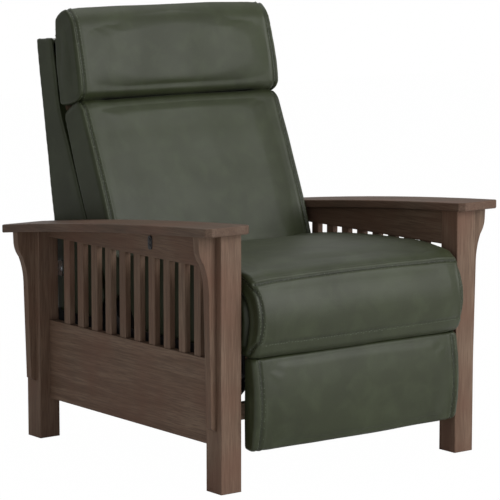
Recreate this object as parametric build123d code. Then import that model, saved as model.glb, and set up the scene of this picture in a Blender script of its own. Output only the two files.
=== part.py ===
from build123d import *
from math import cos, hypot, radians, sin, sqrt
import os

os.makedirs("parts", exist_ok=True)

# Power recliner in the mission manner: a timber frame with slatted sides and bowed arms,
# a steel seat mechanism between the sides, and leather cushions.
# Millimetres. X is across the chair, Y runs to the rear, Z is up. The origin is on the floor,
# midway between the sides and between the front and rear posts. Left is the sitter's left, +X.

# Timber frame
width_over_posts = 758
depth_over_posts = 800
post_side = 57
post_edge_radius = 2
glide_height = 3
glide_radius = 16
glide_stem_radius = 3
glide_stem_length = 18

arm_width = 122
arm_thickness = 20
arm_inside_post = 10
arm_front_overhang = 26
arm_rear_overhang = 32
arm_corner_clip = 12
arm_edge_radius = 3
arm_front_height = 611
arm_rear_height = 530
arm_bow_rise = 7.2

rail_inset = 29.5
rail_thickness = 20
upper_rail_drop = 26.5
side_panel_bottom = 101
side_panel_top = 297
slat_count = 10
slat_width = 25
slat_thickness = 16
slat_pitch = 59.4
rail_edge_radius = 1.5

corbel_thickness = 20
corbel_front_reveal = 18
corbel_bottom = 145
corbel_heel = 8
corbel_top_out = 50
corbel_foot_out = 14
corbel_knee_out = 20.5
corbel_waist_out = 34
corbel_nose_drop = 20
corbel_waist_drop = 62
corbel_knee_drop = 125
corbel_nose_bulge = 4
corbel_waist_bulge = 3

cross_rail_rear_offset = 130
cross_rail_thickness = 20
cross_rail_top = 141
rear_panel_inset = 18
rear_panel_thickness = 20
rear_panel_top = 255

# Steel channels on the side panels, in which the seat slides
channel_wall = 4
channel_flange = 18.5
channel_bottom = 200
channel_height = 50
channel_front = -338
channel_rear = 200
bolt_radius = 3
bolt_head_radius = 7
bolt_head_height = 3
bolt_grip = 15
channel_bolt_places = (-300, -120, 60, 160)

stop_bracket_thickness = 3
stop_bracket_front = 325
stop_bracket_rear = 388
stop_bracket_bottom = 406
stop_bracket_height = 36
stop_screw_inset = 9

# Switch on the right upper rail
switch_from_middle = -89
switch_above_rail = 33.5
switch_flange_length = 33
switch_flange_width = 15
switch_flange_thickness = 3
switch_body_length = 27
switch_body_width = 11
switch_body_depth = 17
switch_edge_radius = 1
button_radius = 4
button_spacing = 13
button_proud = 1.8
button_length = 8
button_travel = 1.2
button_edge_radius = 0.6

# Power supply on the rear panel
supply_width = 150
supply_depth = 38
supply_height = 62
supply_bottom = 130
supply_edge_radius = 4
inlet_width = 26
inlet_height = 18
inlet_depth = 16
inlet_offset = 40
inlet_wall = 2
inlet_pin_radius = 1.6
inlet_pin_spacing = 9
inlet_pin_length = 10

# Clearances
shaft_clearance = 0.05
soft_clearance = 0.4
plate_clearance = 1
slide_clearance = 0.5
cut_overrun = 5

# Seat mechanism
seat_plate_thickness = 4
seat_plate_inner = 288
seat_plate_bottom = 205
seat_plate_front = -368
seat_frame_bottom = 262
seat_frame_top = 306
seat_plate_rear = 85
seat_plate_toe = -345
seat_plate_toe_height = 222
seat_plate_heel = 150
seat_plate_neck = 160
seat_plate_neck_drop = 30
seat_rail_thickness = 22
seat_rear_rail_front = 60
back_pivot_y = 150
back_pivot_z = 330
back_ear_radius = 18
hinge_pin_radius = 6
hinge_pin_head = 3
lift_pivot_y = -318
lift_pivot_z = 235
slide_bar_width = 20
slide_bar_height = 24
slide_bar_front = -290
slide_bar_rear = 150
shoe_length = 60
shoe_width = 10.5
shoe_places = (-250, 115)
cross_tube_radius = 12
cross_tube_wall = 2
cross_tube_places = (-110, 120)
cross_tube_above_bar = 10

spring_count = 5
spring_spacing = 100
spring_wire = 4
spring_tail = 12
spring_bends = 14
spring_half_width = 18

# Footrest linkage
lift_shaft_radius = 8
link_thickness = 4
lift_link_inner = 281
lift_link_length = 170
lift_link_rest_angle = -50
foot_link_inner = 275
link_half_width = 11
foot_pivot_y = -360
foot_pivot_z = 245
link_pin_radius = 5
link_pin_head_radius = 8
link_pin_head = 2
bracket_inner = 269
bracket_thickness = 4
bracket_flange = 16
bracket_bottom = 181
bracket_top = 258

foot_board_thickness = 12
foot_board_rear = -375
foot_board_half_width = 280
foot_board_margin = 20
foot_pad_half_width = 300
foot_pad_bottom = 90.5
foot_pad_top = 305
foot_pad_depth = 48

# Drive: a lead screw that pulls a nut sled, which turns the crank on the lift shaft
crank_radius = 36
crank_start_angle = -22.5
crank_thickness = 8
crank_half_width = 10
crank_pin_radius = 5
crank_pin_half_length = 17
sled_slot_clearance = 4.5
sled_prong_inner = 6
sled_prong_thickness = 7
sled_prong_wall = 5
sled_prong_top = 226
sled_base_bottom = 179
sled_base_top = 187
sled_nut_half_width = 9
sled_nut_bottom = 162
sled_nut_half_length = 9
screw_radius = 5
screw_height = 170
screw_rear = -40
drive_rail_half_width = 14
drive_rail_wall = 3
drive_rail_bottom = 158
drive_rail_top = 178
drive_rail_front = -366
drive_rail_end = 4
motor_front = -60
motor_rear = 92
motor_half_width = 34
motor_bottom = 150
motor_top_drop = 9
motor_edge_radius = 10
motor_lug_wall = 8
hanger_thickness = 4
hanger_front = -362
hanger_rear = -342
hanger_gap = 10

# Seat cushion
seat_half_width = 306
seat_cushion_rear = 119
seat_cushion_front = -453
seat_cushion_top = 508

# Back: an upholstered shell over a timber frame
back_shell_half_width = 305
back_shell_wall = 8
back_shell_edge_radius = 5
back_shell_top_front = (391.5, 985)
back_shell_top_rear = (460, 979)
back_shell_shoulder = (434, 809)
back_shell_elbow = (406, 625)
back_shell_waist = (389, 540)
back_shell_heel = (376, 312)
back_shell_toe = (198, 314)
back_shell_lip = (170, 372)
back_shell_front_bend = (359.5, 815)
stile_inner = 261
stile_width = 22
stile_front_recess = 2.4
stile_rear_gap = 0.3
stile_bottom = 342
stile_top_drop = 39
back_rail_thickness = 22
back_rail_depth = 60
back_rail_shares = (0.08, 0.36, 0.97)
headrest_rail_depth = 12
headrest_rail_bottom = 748
headrest_rail_top = 780
headrest_rail_front = 356
back_bracket_thickness = 4
back_bracket_top = 520
back_bracket_heel = 235
webbing_count = 4
webbing_width = 50
webbing_thickness = 1.8
webbing_reach_share = 0.93

back_cushion_half_width = 296
back_cushion_bottom_front = (69, 360)
back_cushion_seat_line = (125, 490)
back_cushion_bulge = 9
back_cushion_top_front = (268, 820)
back_cushion_top = (296, 832)
back_cushion_top_rear = (353, 807)

# Headrest, which tips forward about a hinge in the notch below it
headrest_pivot_y = 300
headrest_pivot_z = 838
headrest_angle = 30
headrest_half_width = 300
headrest_front_low = (272, 864)
headrest_front_foot = (291, 846)
headrest_rear_low = (354, 818)
headrest_rear_top = (380, 1036)
headrest_crest = (334, 1068)
headrest_front_top = (296, 1022)
headrest_board_thickness = 12
headrest_board_low = (326, 862)
headrest_board_high = (350, 1010)
headrest_board_half_width = 240
headrest_hinge_place = 190
hinge_leaf_thickness = 3
hinge_leaf_width = 40
hinge_knuckle_radius = 4
headrest_hinge_pin_radius = 2.5
headrest_lever_y = 385
headrest_lever_z = 790
headrest_lever_thickness = 8
headrest_lever_half_width = 8
headrest_lever_root_share = 0.12
headrest_bulge = 4.5
headrest_pin_radius = 4
headrest_pin_half_length = 12
headrest_eye_wall = 4
headrest_eye_thickness = 5
headrest_eye_gap = 5
headrest_eye_clearance = 1
headrest_motor_radius = 16
headrest_motor_length = 112
headrest_motor_foot = 14
headrest_rod_radius = 6
headrest_rod_length = 150

# Places that follow from the sizes above
post_outer = width_over_posts / 2
post_inner = post_outer - post_side
frame_front = -depth_over_posts / 2
frame_rear = depth_over_posts / 2
rail_front = frame_front + post_side
rail_rear = frame_rear - post_side
rail_outer = post_outer - rail_inset
rail_inner = rail_outer - rail_thickness
arm_inner = post_inner - arm_inside_post
arm_outer = arm_inner + arm_width
arm_front = frame_front - arm_front_overhang
arm_rear = frame_rear + arm_rear_overhang
arm_slope = (arm_rear_height - arm_front_height) / (arm_rear - arm_front)
arm_middle_height = arm_rear_height - arm_slope * arm_rear + arm_bow_rise
arm_ceiling = max(arm_front_height, arm_rear_height) + arm_bow_rise + arm_thickness
upper_rail_bottom = min(arm_front_height, arm_rear_height) - upper_rail_drop
switch_height = upper_rail_bottom + switch_above_rail
slide_bar_bottom = channel_bottom + (channel_height - slide_bar_height) / 2
cross_tube_height = slide_bar_bottom + slide_bar_height / 2 + cross_tube_above_bar
motor_top = cross_tube_height - motor_top_drop
seat_plate_neck_height = back_pivot_z - seat_plate_neck_drop
stile_top = back_shell_top_rear[1] - stile_top_drop
seat_plate_outer = seat_plate_inner + seat_plate_thickness
seat_rear_rail_rear = seat_rear_rail_front + seat_rail_thickness
spring_height = seat_frame_top + spring_wire / 2
seat_cushion_bottom = seat_frame_top + spring_wire + soft_clearance


def circle_through(a, b, c):
    """Centre and radius of the circle through three points."""
    d = 2 * (a[0] * (b[1] - c[1]) + b[0] * (c[1] - a[1]) + c[0] * (a[1] - b[1]))
    sa, sb, sc = (p[0] ** 2 + p[1] ** 2 for p in (a, b, c))
    x = (sa * (b[1] - c[1]) + sb * (c[1] - a[1]) + sc * (a[1] - b[1])) / d
    y = (sa * (c[0] - b[0]) + sb * (a[0] - c[0]) + sc * (b[0] - a[0])) / d
    return x, y, hypot(a[0] - x, a[1] - y)


def arm_top(y):
    """Height of the bowed arm's top at a place along the chair."""
    return bow_z + sqrt(bow_radius**2 - (y - bow_y) ** 2)


def block(x0, x1, y0, y1, z0, z1):
    """A box between two corners."""
    return Pos((x0 + x1) / 2, (y0 + y1) / 2, (z0 + z1) / 2) * Box(x1 - x0, y1 - y0, z1 - z0)


def ring(x, start, steps):
    """A closed side outline at x. Each step is an end point, or a point on the way and an end."""
    edges, here = [], Vector(x, *start)
    for step in steps:
        end = Vector(x, *step[-1])
        if len(step) == 1:
            edges.append(Edge.make_line(here, end))
        else:
            edges.append(Edge.make_three_point_arc(here, Vector(x, *step[0]), end))
        here = end
    edges.append(Edge.make_line(here, Vector(x, *start)))
    return Wire(edges)


def board(x0, x1, points):
    """A flat plate across X with straight sides."""
    return extrude(Face(Wire.make_polygon([Vector(x0, *p) for p in points])), x1 - x0, dir=(1, 0, 0))


def rod(x0, x1, y, z, radius):
    """A round bar across the chair."""
    return Pos((x0 + x1) / 2, y, z) * Rot(0, 90, 0) * Cylinder(radius, x1 - x0)


def bar_between(x0, x1, a, b, half_width):
    """A flat link with round ends, from pivot a to pivot b."""
    length = hypot(b[0] - a[0], b[1] - a[1])
    ny, nz = (a[1] - b[1]) / length * half_width, (b[0] - a[0]) / length * half_width
    corners = [(a[0] + ny, a[1] + nz), (b[0] + ny, b[1] + nz), (b[0] - ny, b[1] - nz), (a[0] - ny, a[1] - nz)]
    return board(x0, x1, corners) + rod(x0, x1, *a, half_width) + rod(x0, x1, *b, half_width)


def mirrored(shape):
    """The same piece on the other side of the chair."""
    return shape.mirror(Plane.YZ)


def pair(shape):
    """The left piece and its mirror image."""
    return [shape, mirrored(shape)]


def save(node, *shapes):
    """Write one node, with each of its solids separate."""
    solids = [s for shape in shapes for s in shape.solids()]
    export_step(solids[0] if len(solids) == 1 else Compound(children=solids), f"parts/{node}.step")


def save_pair(node, shape):
    """Write the left piece and its mirror image as two nodes."""
    save(f"{node}_left", shape)
    save(f"{node}_right", mirrored(shape))


def between(a, b, share):
    """The point at a share of the way from a to b."""
    return a[0] + (b[0] - a[0]) * share, a[1] + (b[1] - a[1]) * share


def placed(shares, y0, y1, z0, z1):
    """Turn a table of shares into points between two corners."""
    return [[(y0 + s * (y1 - y0), z0 + t * (z1 - z0)) for s, t in step] for step in shares]


def cushion(half_width, centre, start, steps, sections):
    """A stuffed form: the side outline, drawn in towards the centre near both ends."""
    wires = []
    for across, size in sections:
        near = lambda p: between(centre, p, size)
        moved = [[near(p) for p in step] for step in steps]
        wires.append(ring(across * half_width, near(start), moved))
    return Solid.make_loft(wires, ruled=True)


def turned(y, z, angle, radius):
    """A point at an angle and radius from a pivot."""
    return y + radius * cos(radians(angle)), z + radius * sin(radians(angle))


bow_y, bow_z, bow_radius = circle_through(
    (arm_front, arm_front_height), (0, arm_middle_height), (arm_rear, arm_rear_height)
)


def arm_band(drop, floor):
    """Everything from a height up to the arm's bow, lowered by a drop."""
    start = (arm_front - cut_overrun, floor)
    rear = (arm_rear + cut_overrun, floor)
    tops = [(y, arm_top(y) - drop) for y in (start[0], 0, rear[0])]
    outline = ring(-arm_outer, start, [[tops[0]], [tops[1], tops[2]], [rear]])
    return extrude(Face(outline), 2 * arm_outer, dir=(1, 0, 0))


below_arm = arm_band(arm_thickness, 0)


def make_arm():
    """The bowed armrest board with clipped corners and eased edges."""
    c = arm_corner_clip
    x0, x1, y0, y1 = arm_inner, arm_outer, arm_front, arm_rear
    plan = [(x0 + c, y0), (x1 - c, y0), (x1, y0 + c), (x1, y1 - c), (x1 - c, y1), (x0 + c, y1),
            (x0, y1 - c), (x0, y0 + c)]
    prism = extrude(make_face(Polyline(*plan, close=True)), arm_ceiling)
    arm = (prism & arm_band(0, 0)) - below_arm
    return fillet(arm.edges(), arm_edge_radius)


def make_post(y0):
    """A square post whose top follows the underside of the arm."""
    tall = block(post_inner, post_outer, y0, y0 + post_side, glide_height, arm_ceiling)
    tall = fillet(tall.edges().filter_by(Axis.Z), post_edge_radius)
    post = tall & below_arm
    x, y = post_outer - post_side / 2, y0 + post_side / 2
    return post - Pos(x, y, glide_height + glide_stem_length / 2) * Cylinder(glide_stem_radius, glide_stem_length)


def make_rear_post():
    """The rear post, bored for the stop bracket's screws."""
    post = make_post(rail_rear)
    for y, z in stop_screw_places()[1:]:
        post -= rod(post_inner, post_inner + bolt_grip, y, z, bolt_radius)
    return post


def make_glide(x, y):
    """A nail-on floor glide under a post."""
    foot = Pos(x, y, glide_height / 2) * Cylinder(glide_radius, glide_height)
    return foot + Pos(x, y, glide_height + glide_stem_length / 2) * Cylinder(glide_stem_radius, glide_stem_length)


def make_corbel(y0):
    """A bracket on a post's outer face, with an S-curved nose under the arm."""
    top = arm_top(y0 + corbel_thickness / 2) - arm_thickness
    x = post_outer
    nose = (x + corbel_top_out - corbel_nose_bulge / 2, top - corbel_nose_drop)
    waist = (x + corbel_waist_out, top - corbel_waist_drop)
    knee = (x + corbel_knee_out, top - corbel_knee_drop)
    high = top + arm_thickness
    nose_mid, waist_mid = between(nose, waist, 1 / 2), between(waist, knee, 1 / 2)
    outline = [
        Line((x, corbel_bottom), (x, high)),
        Line((x, high), (x + corbel_top_out, high)),
        Line((x + corbel_top_out, high), nose),
        ThreePointArc(nose, (nose_mid[0] + corbel_nose_bulge, nose_mid[1]), waist),
        ThreePointArc(waist, (waist_mid[0] - corbel_waist_bulge, waist_mid[1]), knee),
        Line(knee, (x + corbel_foot_out, corbel_bottom + corbel_heel)),
        Line((x + corbel_foot_out, corbel_bottom + corbel_heel), (x, corbel_bottom)),
    ]
    face = Plane((0, y0 + corbel_thickness, 0), x_dir=(1, 0, 0), z_dir=(0, -1, 0)) * make_face(outline)
    return extrude(face, corbel_thickness) & below_arm


def bolt_places():
    """Where the channel bolts go, as points on the side panel."""
    return [(y, channel_bottom + channel_height / 2) for y in channel_bolt_places]


def make_upper_rail():
    """The rail under the arm, its top cut to the arm's bow."""
    rail = block(rail_inner, rail_outer, rail_front, rail_rear, upper_rail_bottom, arm_ceiling)
    return rail & below_arm


def slot_prism(length, width, x0, x1):
    """An upright oval bar across the right rail."""
    plane = Plane((x0, switch_from_middle, switch_height), x_dir=(0, 0, 1), z_dir=(1, 0, 0))
    return extrude(plane * SlotOverall(length, width), x1 - x0)


def make_side_panel():
    """The wide lower rail, with pilot holes for the channel bolts."""
    panel = block(rail_inner, rail_outer, rail_front, rail_rear, side_panel_bottom, side_panel_top)
    for y, z in bolt_places():
        panel -= rod(rail_inner, rail_inner + bolt_grip, y, z, bolt_radius)
    return panel


def make_slats():
    """The row of upright slats in one side."""
    x1 = rail_outer - (rail_thickness - slat_thickness) / 2
    first = -(slat_count - 1) * slat_pitch / 2
    slats = []
    for i in range(slat_count):
        y = first + i * slat_pitch
        slat = block(x1 - slat_thickness, x1, y - slat_width / 2, y + slat_width / 2,
                     side_panel_top, upper_rail_bottom)
        slats.append(fillet(slat.edges().filter_by(Axis.Z), rail_edge_radius))
    return slats


def make_timber():
    """Posts, arms, rails, slats, corbels, cross rails and glides."""
    upper_rail = make_upper_rail()
    switch_hole = slot_prism(switch_body_length, switch_body_width, -rail_outer, -rail_inner)
    save_pair("arm", make_arm())
    save_pair("front_post", make_post(frame_front))
    save_pair("rear_post", make_rear_post())
    save("upper_rail_left", upper_rail)
    save("upper_rail_right", mirrored(upper_rail) - switch_hole)
    save_pair("side_panel", make_side_panel())
    slats = make_slats()
    save("slats_left", *slats)
    save("slats_right", *[mirrored(s) for s in slats])
    corbels = []
    for y0 in (frame_front, rail_rear):
        corbels += pair(make_corbel(y0 + corbel_front_reveal))
    save("corbels", *corbels)
    middle = post_outer - post_side / 2
    glides = []
    for y in (frame_front + post_side / 2, frame_rear - post_side / 2):
        glides += pair(make_glide(middle, y))
    save("floor_glides", *glides)
    cross_front = -cross_rail_rear_offset - cross_rail_thickness
    save("front_cross_rail", block(-rail_inner, rail_inner, cross_front, -cross_rail_rear_offset,
                                   side_panel_bottom, cross_rail_top))
    panel_rear = frame_rear - rear_panel_inset
    save("rear_panel", block(-post_inner, post_inner, panel_rear - rear_panel_thickness, panel_rear,
                             side_panel_bottom, rear_panel_top))


def make_channel():
    """A steel channel on the side panel, open towards the seat."""
    inner = rail_inner - channel_wall - channel_flange
    top = channel_bottom + channel_height
    channel = block(inner, rail_inner, channel_front, channel_rear, channel_bottom, top)
    channel -= block(inner, rail_inner - channel_wall, channel_front, channel_rear,
                     channel_bottom + channel_wall, top - channel_wall)
    for y, z in bolt_places():
        channel -= rod(rail_inner - channel_wall, rail_inner, y, z, bolt_radius)
    return channel


def make_channel_bolts():
    """Bolts that hold one channel to its side panel."""
    web = rail_inner - channel_wall
    bolts = []
    for y, z in bolt_places():
        head = rod(web - bolt_head_height, web, y, z, bolt_head_radius)
        bolts.append(head + rod(web, rail_inner + bolt_grip, y, z, bolt_radius))
    return bolts


def stop_screw_places():
    """Screws of a stop bracket: one on its free ear and two in the post."""
    middle = stop_bracket_bottom + stop_bracket_height / 2
    low, high = stop_bracket_bottom + stop_screw_inset, stop_bracket_bottom + stop_bracket_height - stop_screw_inset
    rear = stop_bracket_rear - stop_screw_inset
    return (stop_bracket_front + stop_screw_inset, middle), (rear, low), (rear, high)


def make_stop_bracket():
    """A steel plate on the rear post's inner face, with an ear in front of the post."""
    top = stop_bracket_bottom + stop_bracket_height
    plate = block(post_inner - stop_bracket_thickness, post_inner, stop_bracket_front, stop_bracket_rear,
                  stop_bracket_bottom, top)
    for y, z in stop_screw_places():
        plate -= rod(post_inner - stop_bracket_thickness, post_inner, y, z, bolt_radius)
    return plate


def make_stop_screws():
    """The ear's bolt and nut, and the two screws in the post."""
    face = post_inner - stop_bracket_thickness
    pieces = []
    for i, (y, z) in enumerate(stop_screw_places()):
        tail = post_inner + (bolt_head_height if i == 0 else bolt_grip)
        screw = rod(face - bolt_head_height, face, y, z, bolt_head_radius) + rod(face, tail, y, z, bolt_radius)
        if i == 0:
            screw += rod(post_inner, tail, y, z, bolt_head_radius)
        pieces.append(screw)
    return pieces


def make_fixed_steel():
    """Slide channels and stop brackets with their fasteners."""
    save("base_channels", *pair(make_channel()))
    bolts = []
    for bolt in make_channel_bolts() + make_stop_screws():
        bolts += pair(bolt)
    save("frame_bolts", *bolts)
    save("stop_brackets", *pair(make_stop_bracket()))


def make_switch():
    """An oval two-button switch let into the right upper rail."""
    face = -rail_outer
    outer = face - switch_flange_thickness
    flange = slot_prism(switch_flange_length, switch_flange_width, outer, face)
    flange = fillet(flange.faces().sort_by(Axis.X)[0].edges(), switch_edge_radius)
    body = slot_prism(switch_body_length, switch_body_width, face, face + switch_body_depth)
    bezel = flange + body
    places = {"recline_button": button_spacing / 2, "return_button": -button_spacing / 2}
    depth = button_length - button_proud + button_travel + slide_clearance
    for name, up in places.items():
        z = switch_height + up
        bezel -= rod(outer, outer + depth, switch_from_middle, z, button_radius + shaft_clearance)
        start = outer - button_proud
        button = rod(start, start + button_length, switch_from_middle, z, button_radius)
        save(name, fillet(button.faces().sort_by(Axis.X)[0].edges(), button_edge_radius))
    save("switch_bezel", bezel)


def make_supply():
    """The power supply on the front of the rear panel, with its mains inlet."""
    rear = frame_rear - rear_panel_inset - rear_panel_thickness
    front, top = rear - supply_depth, supply_bottom + supply_height
    case = block(-supply_width / 2, supply_width / 2, front, rear, supply_bottom, top)
    case = fillet(case.edges().filter_by(Axis.Y), supply_edge_radius)
    x, z = inlet_offset, supply_bottom + supply_height / 2
    w, h = inlet_width / 2, inlet_height / 2
    case -= block(x - w, x + w, front, front + inlet_depth, z - h, z + h)
    inlet = block(x - w, x + w, front, front + inlet_depth, z - h, z + h)
    inlet -= block(x - w + inlet_wall, x + w - inlet_wall, front, front + inlet_depth - inlet_wall,
                   z - h + inlet_wall, z + h - inlet_wall)
    for side in (-1, 1):
        pin = Pos(x + side * inlet_pin_spacing / 2, front + inlet_depth - inlet_wall - inlet_pin_length / 2, z)
        inlet += pin * Rot(90, 0, 0) * Cylinder(inlet_pin_radius, inlet_pin_length)
    save("power_supply", case)
    save("power_inlet", inlet)


def make_seat_plate():
    """The mechanism's side plate, with an ear that carries the back hinge."""
    outline = [(seat_plate_front, seat_frame_bottom), (seat_plate_front, seat_frame_top),
               (seat_plate_rear, seat_frame_top), (back_pivot_y - back_ear_radius, back_pivot_z),
               (back_pivot_y + back_ear_radius, back_pivot_z), (seat_plate_neck, seat_plate_neck_height),
               (seat_plate_heel, seat_plate_bottom), (lift_pivot_y + back_ear_radius, seat_plate_bottom),
               (seat_plate_toe, seat_plate_toe_height), (seat_plate_toe, seat_frame_bottom)]
    plate = board(seat_plate_inner, seat_plate_outer, outline)
    plate += rod(seat_plate_inner, seat_plate_outer, back_pivot_y, back_pivot_z, back_ear_radius)
    plate -= rod(seat_plate_inner, seat_plate_outer, back_pivot_y, back_pivot_z, hinge_pin_radius)
    return plate - rod(seat_plate_inner, seat_plate_outer, lift_pivot_y, lift_pivot_z,
                       lift_shaft_radius + shaft_clearance)


def make_spring(x):
    """A flat zigzag seat spring: straight runs across the seat, joined by half turns."""
    z, reach = spring_height, spring_half_width
    front = seat_plate_front + seat_rail_thickness / 2
    rear = seat_rear_rail_front + seat_rail_thickness / 2
    r = (rear - front - 2 * spring_tail) / (2 * (spring_bends + 1))
    lean = r * (1 - sqrt(1 / 2))
    here, after = Vector(x, front + spring_tail, z), Vector(x + r, front + spring_tail + r, z)
    edges = [Edge.make_line(Vector(x, front, z), here)]
    edges.append(Edge.make_three_point_arc(here, Vector(x + lean, after.Y - lean, z), after))
    here, side = after, 1
    for _ in range(spring_bends):
        out = Vector(x + side * reach, here.Y, z)
        top, back = Vector(out.X + side * r, out.Y + r, z), Vector(out.X, out.Y + 2 * r, z)
        edges += [Edge.make_line(here, out), Edge.make_three_point_arc(out, top, back)]
        here, side = back, -side
    out, end = Vector(x - side * r, here.Y, z), Vector(x, here.Y + r, z)
    edges.append(Edge.make_line(here, out))
    edges.append(Edge.make_three_point_arc(out, Vector(x - side * lean, out.Y + lean, z), end))
    edges.append(Edge.make_line(end, Vector(x, rear, z)))
    section = Plane(Vector(x, front, z), z_dir=(0, 1, 0)) * Circle(spring_wire / 2)
    return sweep(section, path=Wire(edges))


def make_seat_frame():
    """Side plates, cross members, sinuous springs and the bars and shoes that slide in the channels."""
    save("seat_plates", *pair(make_seat_plate()))
    inner = seat_plate_inner
    save("seat_front_rail", block(-inner, inner, seat_plate_front, seat_plate_front + seat_rail_thickness,
                                  seat_frame_bottom, seat_frame_top))
    save("seat_rear_rail", block(-inner, inner, seat_rear_rail_front, seat_rear_rail_rear,
                                 seat_frame_bottom, seat_frame_top))
    outer = seat_plate_outer
    bar_outer = outer + slide_bar_width
    bar = block(outer, bar_outer, slide_bar_front, slide_bar_rear,
                slide_bar_bottom, slide_bar_bottom + slide_bar_height)
    save("slide_bars", *pair(bar))
    low = channel_bottom + channel_wall + slide_clearance
    high = channel_bottom + channel_height - channel_wall - slide_clearance
    shoes = []
    for y in shoe_places:
        shoe = block(bar_outer, bar_outer + shoe_width, y - shoe_length / 2, y + shoe_length / 2, low, high)
        shoes += pair(fillet(shoe.edges().filter_by(Axis.X), rail_edge_radius))
    save("slide_shoes", *shoes)
    tubes = []
    for y in cross_tube_places:
        tube = rod(-inner, inner, y, cross_tube_height, cross_tube_radius)
        tubes.append(tube - rod(-inner, inner, y, cross_tube_height, cross_tube_radius - cross_tube_wall))
    save("cross_tubes", *tubes)
    bracket_inner_face = seat_plate_inner - plate_clearance - back_bracket_thickness
    pin = rod(bracket_inner_face, outer, back_pivot_y, back_pivot_z, hinge_pin_radius)
    pin += rod(bracket_inner_face - hinge_pin_head, bracket_inner_face, back_pivot_y, back_pivot_z,
               hinge_pin_radius + hinge_pin_head)
    pin += rod(outer, outer + hinge_pin_head, back_pivot_y, back_pivot_z, hinge_pin_radius + hinge_pin_head)
    save("back_hinge_pins", *pair(pin))
    first = -(spring_count - 1) / 2
    save("seat_springs", *[make_spring((first + i) * spring_spacing) for i in range(spring_count)])


seat_shares = [
    [(0.29, 0.957), (0.60, 1.0)],
    [(0.77, 0.999), (0.895, 0.955)],
    [(0.94, 0.885), (0.963, 0.79)],
    [(1.0, 0.44), (0.985, 0.13)],
    [(0.968, 0.045), (0.94, 0.0)],
    [(0.13, 0.0)],
]
seat_start_share = (0.0, 0.865)
seat_section_shares = [(-1, 0.955), (-0.975, 0.978), (-0.86, 0.992), (-0.4, 1), (0.4, 1), (0.86, 0.992),
                       (0.975, 0.978), (1, 0.955)]
pad_shares = [
    [(0.45, 0.0), (0.74, 0.03)],
    [(1.0, 0.5), (0.74, 0.97)],
    [(0.45, 1.0), (0.0, 0.98)],
]
pad_start_share = (0.0, 0.02)
thin_section_shares = [(-1, 0.93), (-0.975, 0.965), (-0.86, 0.988), (-0.4, 1), (0.4, 1), (0.86, 0.988),
                       (0.975, 0.965), (1, 0.93)]


def make_seat_cushion():
    """The deep seat cushion, which rolls over the front of the frame."""
    y0, y1, z0, z1 = seat_cushion_rear, seat_cushion_front, seat_cushion_bottom, seat_cushion_top
    start = placed([[seat_start_share]], y0, y1, z0, z1)[0][0]
    centre = ((y0 + y1) / 2, z0)
    save("seat_cushion", cushion(seat_half_width, centre, start, placed(seat_shares, y0, y1, z0, z1),
                                 seat_section_shares))


def knee():
    """The pivot between lift link and foot link, at rest."""
    return turned(lift_pivot_y, lift_pivot_z, lift_link_rest_angle, lift_link_length)


def make_lift():
    """The lift shaft with its two links and the crank that the drive turns."""
    shaft = rod(-seat_plate_outer - hinge_pin_head, seat_plate_outer + hinge_pin_head,
                lift_pivot_y, lift_pivot_z, lift_shaft_radius)
    save("lift_shaft", shaft)
    pivot = (lift_pivot_y, lift_pivot_z)
    link = bar_between(lift_link_inner, lift_link_inner + link_thickness, pivot, knee(), link_half_width)
    link += rod(lift_link_inner, lift_link_inner + link_thickness, *pivot, lift_shaft_radius + link_pin_radius)
    link -= rod(lift_link_inner, lift_link_inner + link_thickness, *pivot, lift_shaft_radius)
    link -= rod(lift_link_inner, lift_link_inner + link_thickness, *knee(), link_pin_radius)
    save("lift_links", *pair(link))
    end = turned(lift_pivot_y, lift_pivot_z, crank_start_angle, crank_radius)
    half = crank_thickness / 2
    crank = bar_between(-half, half, pivot, end, crank_half_width)
    crank += rod(-half, half, *pivot, lift_shaft_radius + link_pin_radius)
    crank -= rod(-half, half, *pivot, lift_shaft_radius)
    crank += rod(-crank_pin_half_length, crank_pin_half_length, *end, crank_pin_radius)
    save("lift_crank", crank)
    low = foot_link_inner - link_pin_head
    pin = rod(low, lift_link_inner + link_thickness, *knee(), link_pin_radius)
    pin += rod(low - link_pin_head, low, *knee(), link_pin_head_radius)
    save("knee_pins", *pair(pin))


def make_foot_link():
    """The outer link of the footrest, from the knee to the footrest bracket."""
    x0, x1 = foot_link_inner, foot_link_inner + link_thickness
    foot = (foot_pivot_y, foot_pivot_z)
    link = bar_between(x0, x1, knee(), foot, link_half_width)
    for end in (knee(), foot):
        link -= rod(x0, x1, *end, link_pin_radius + shaft_clearance)
    save("foot_links", *pair(link))


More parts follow.
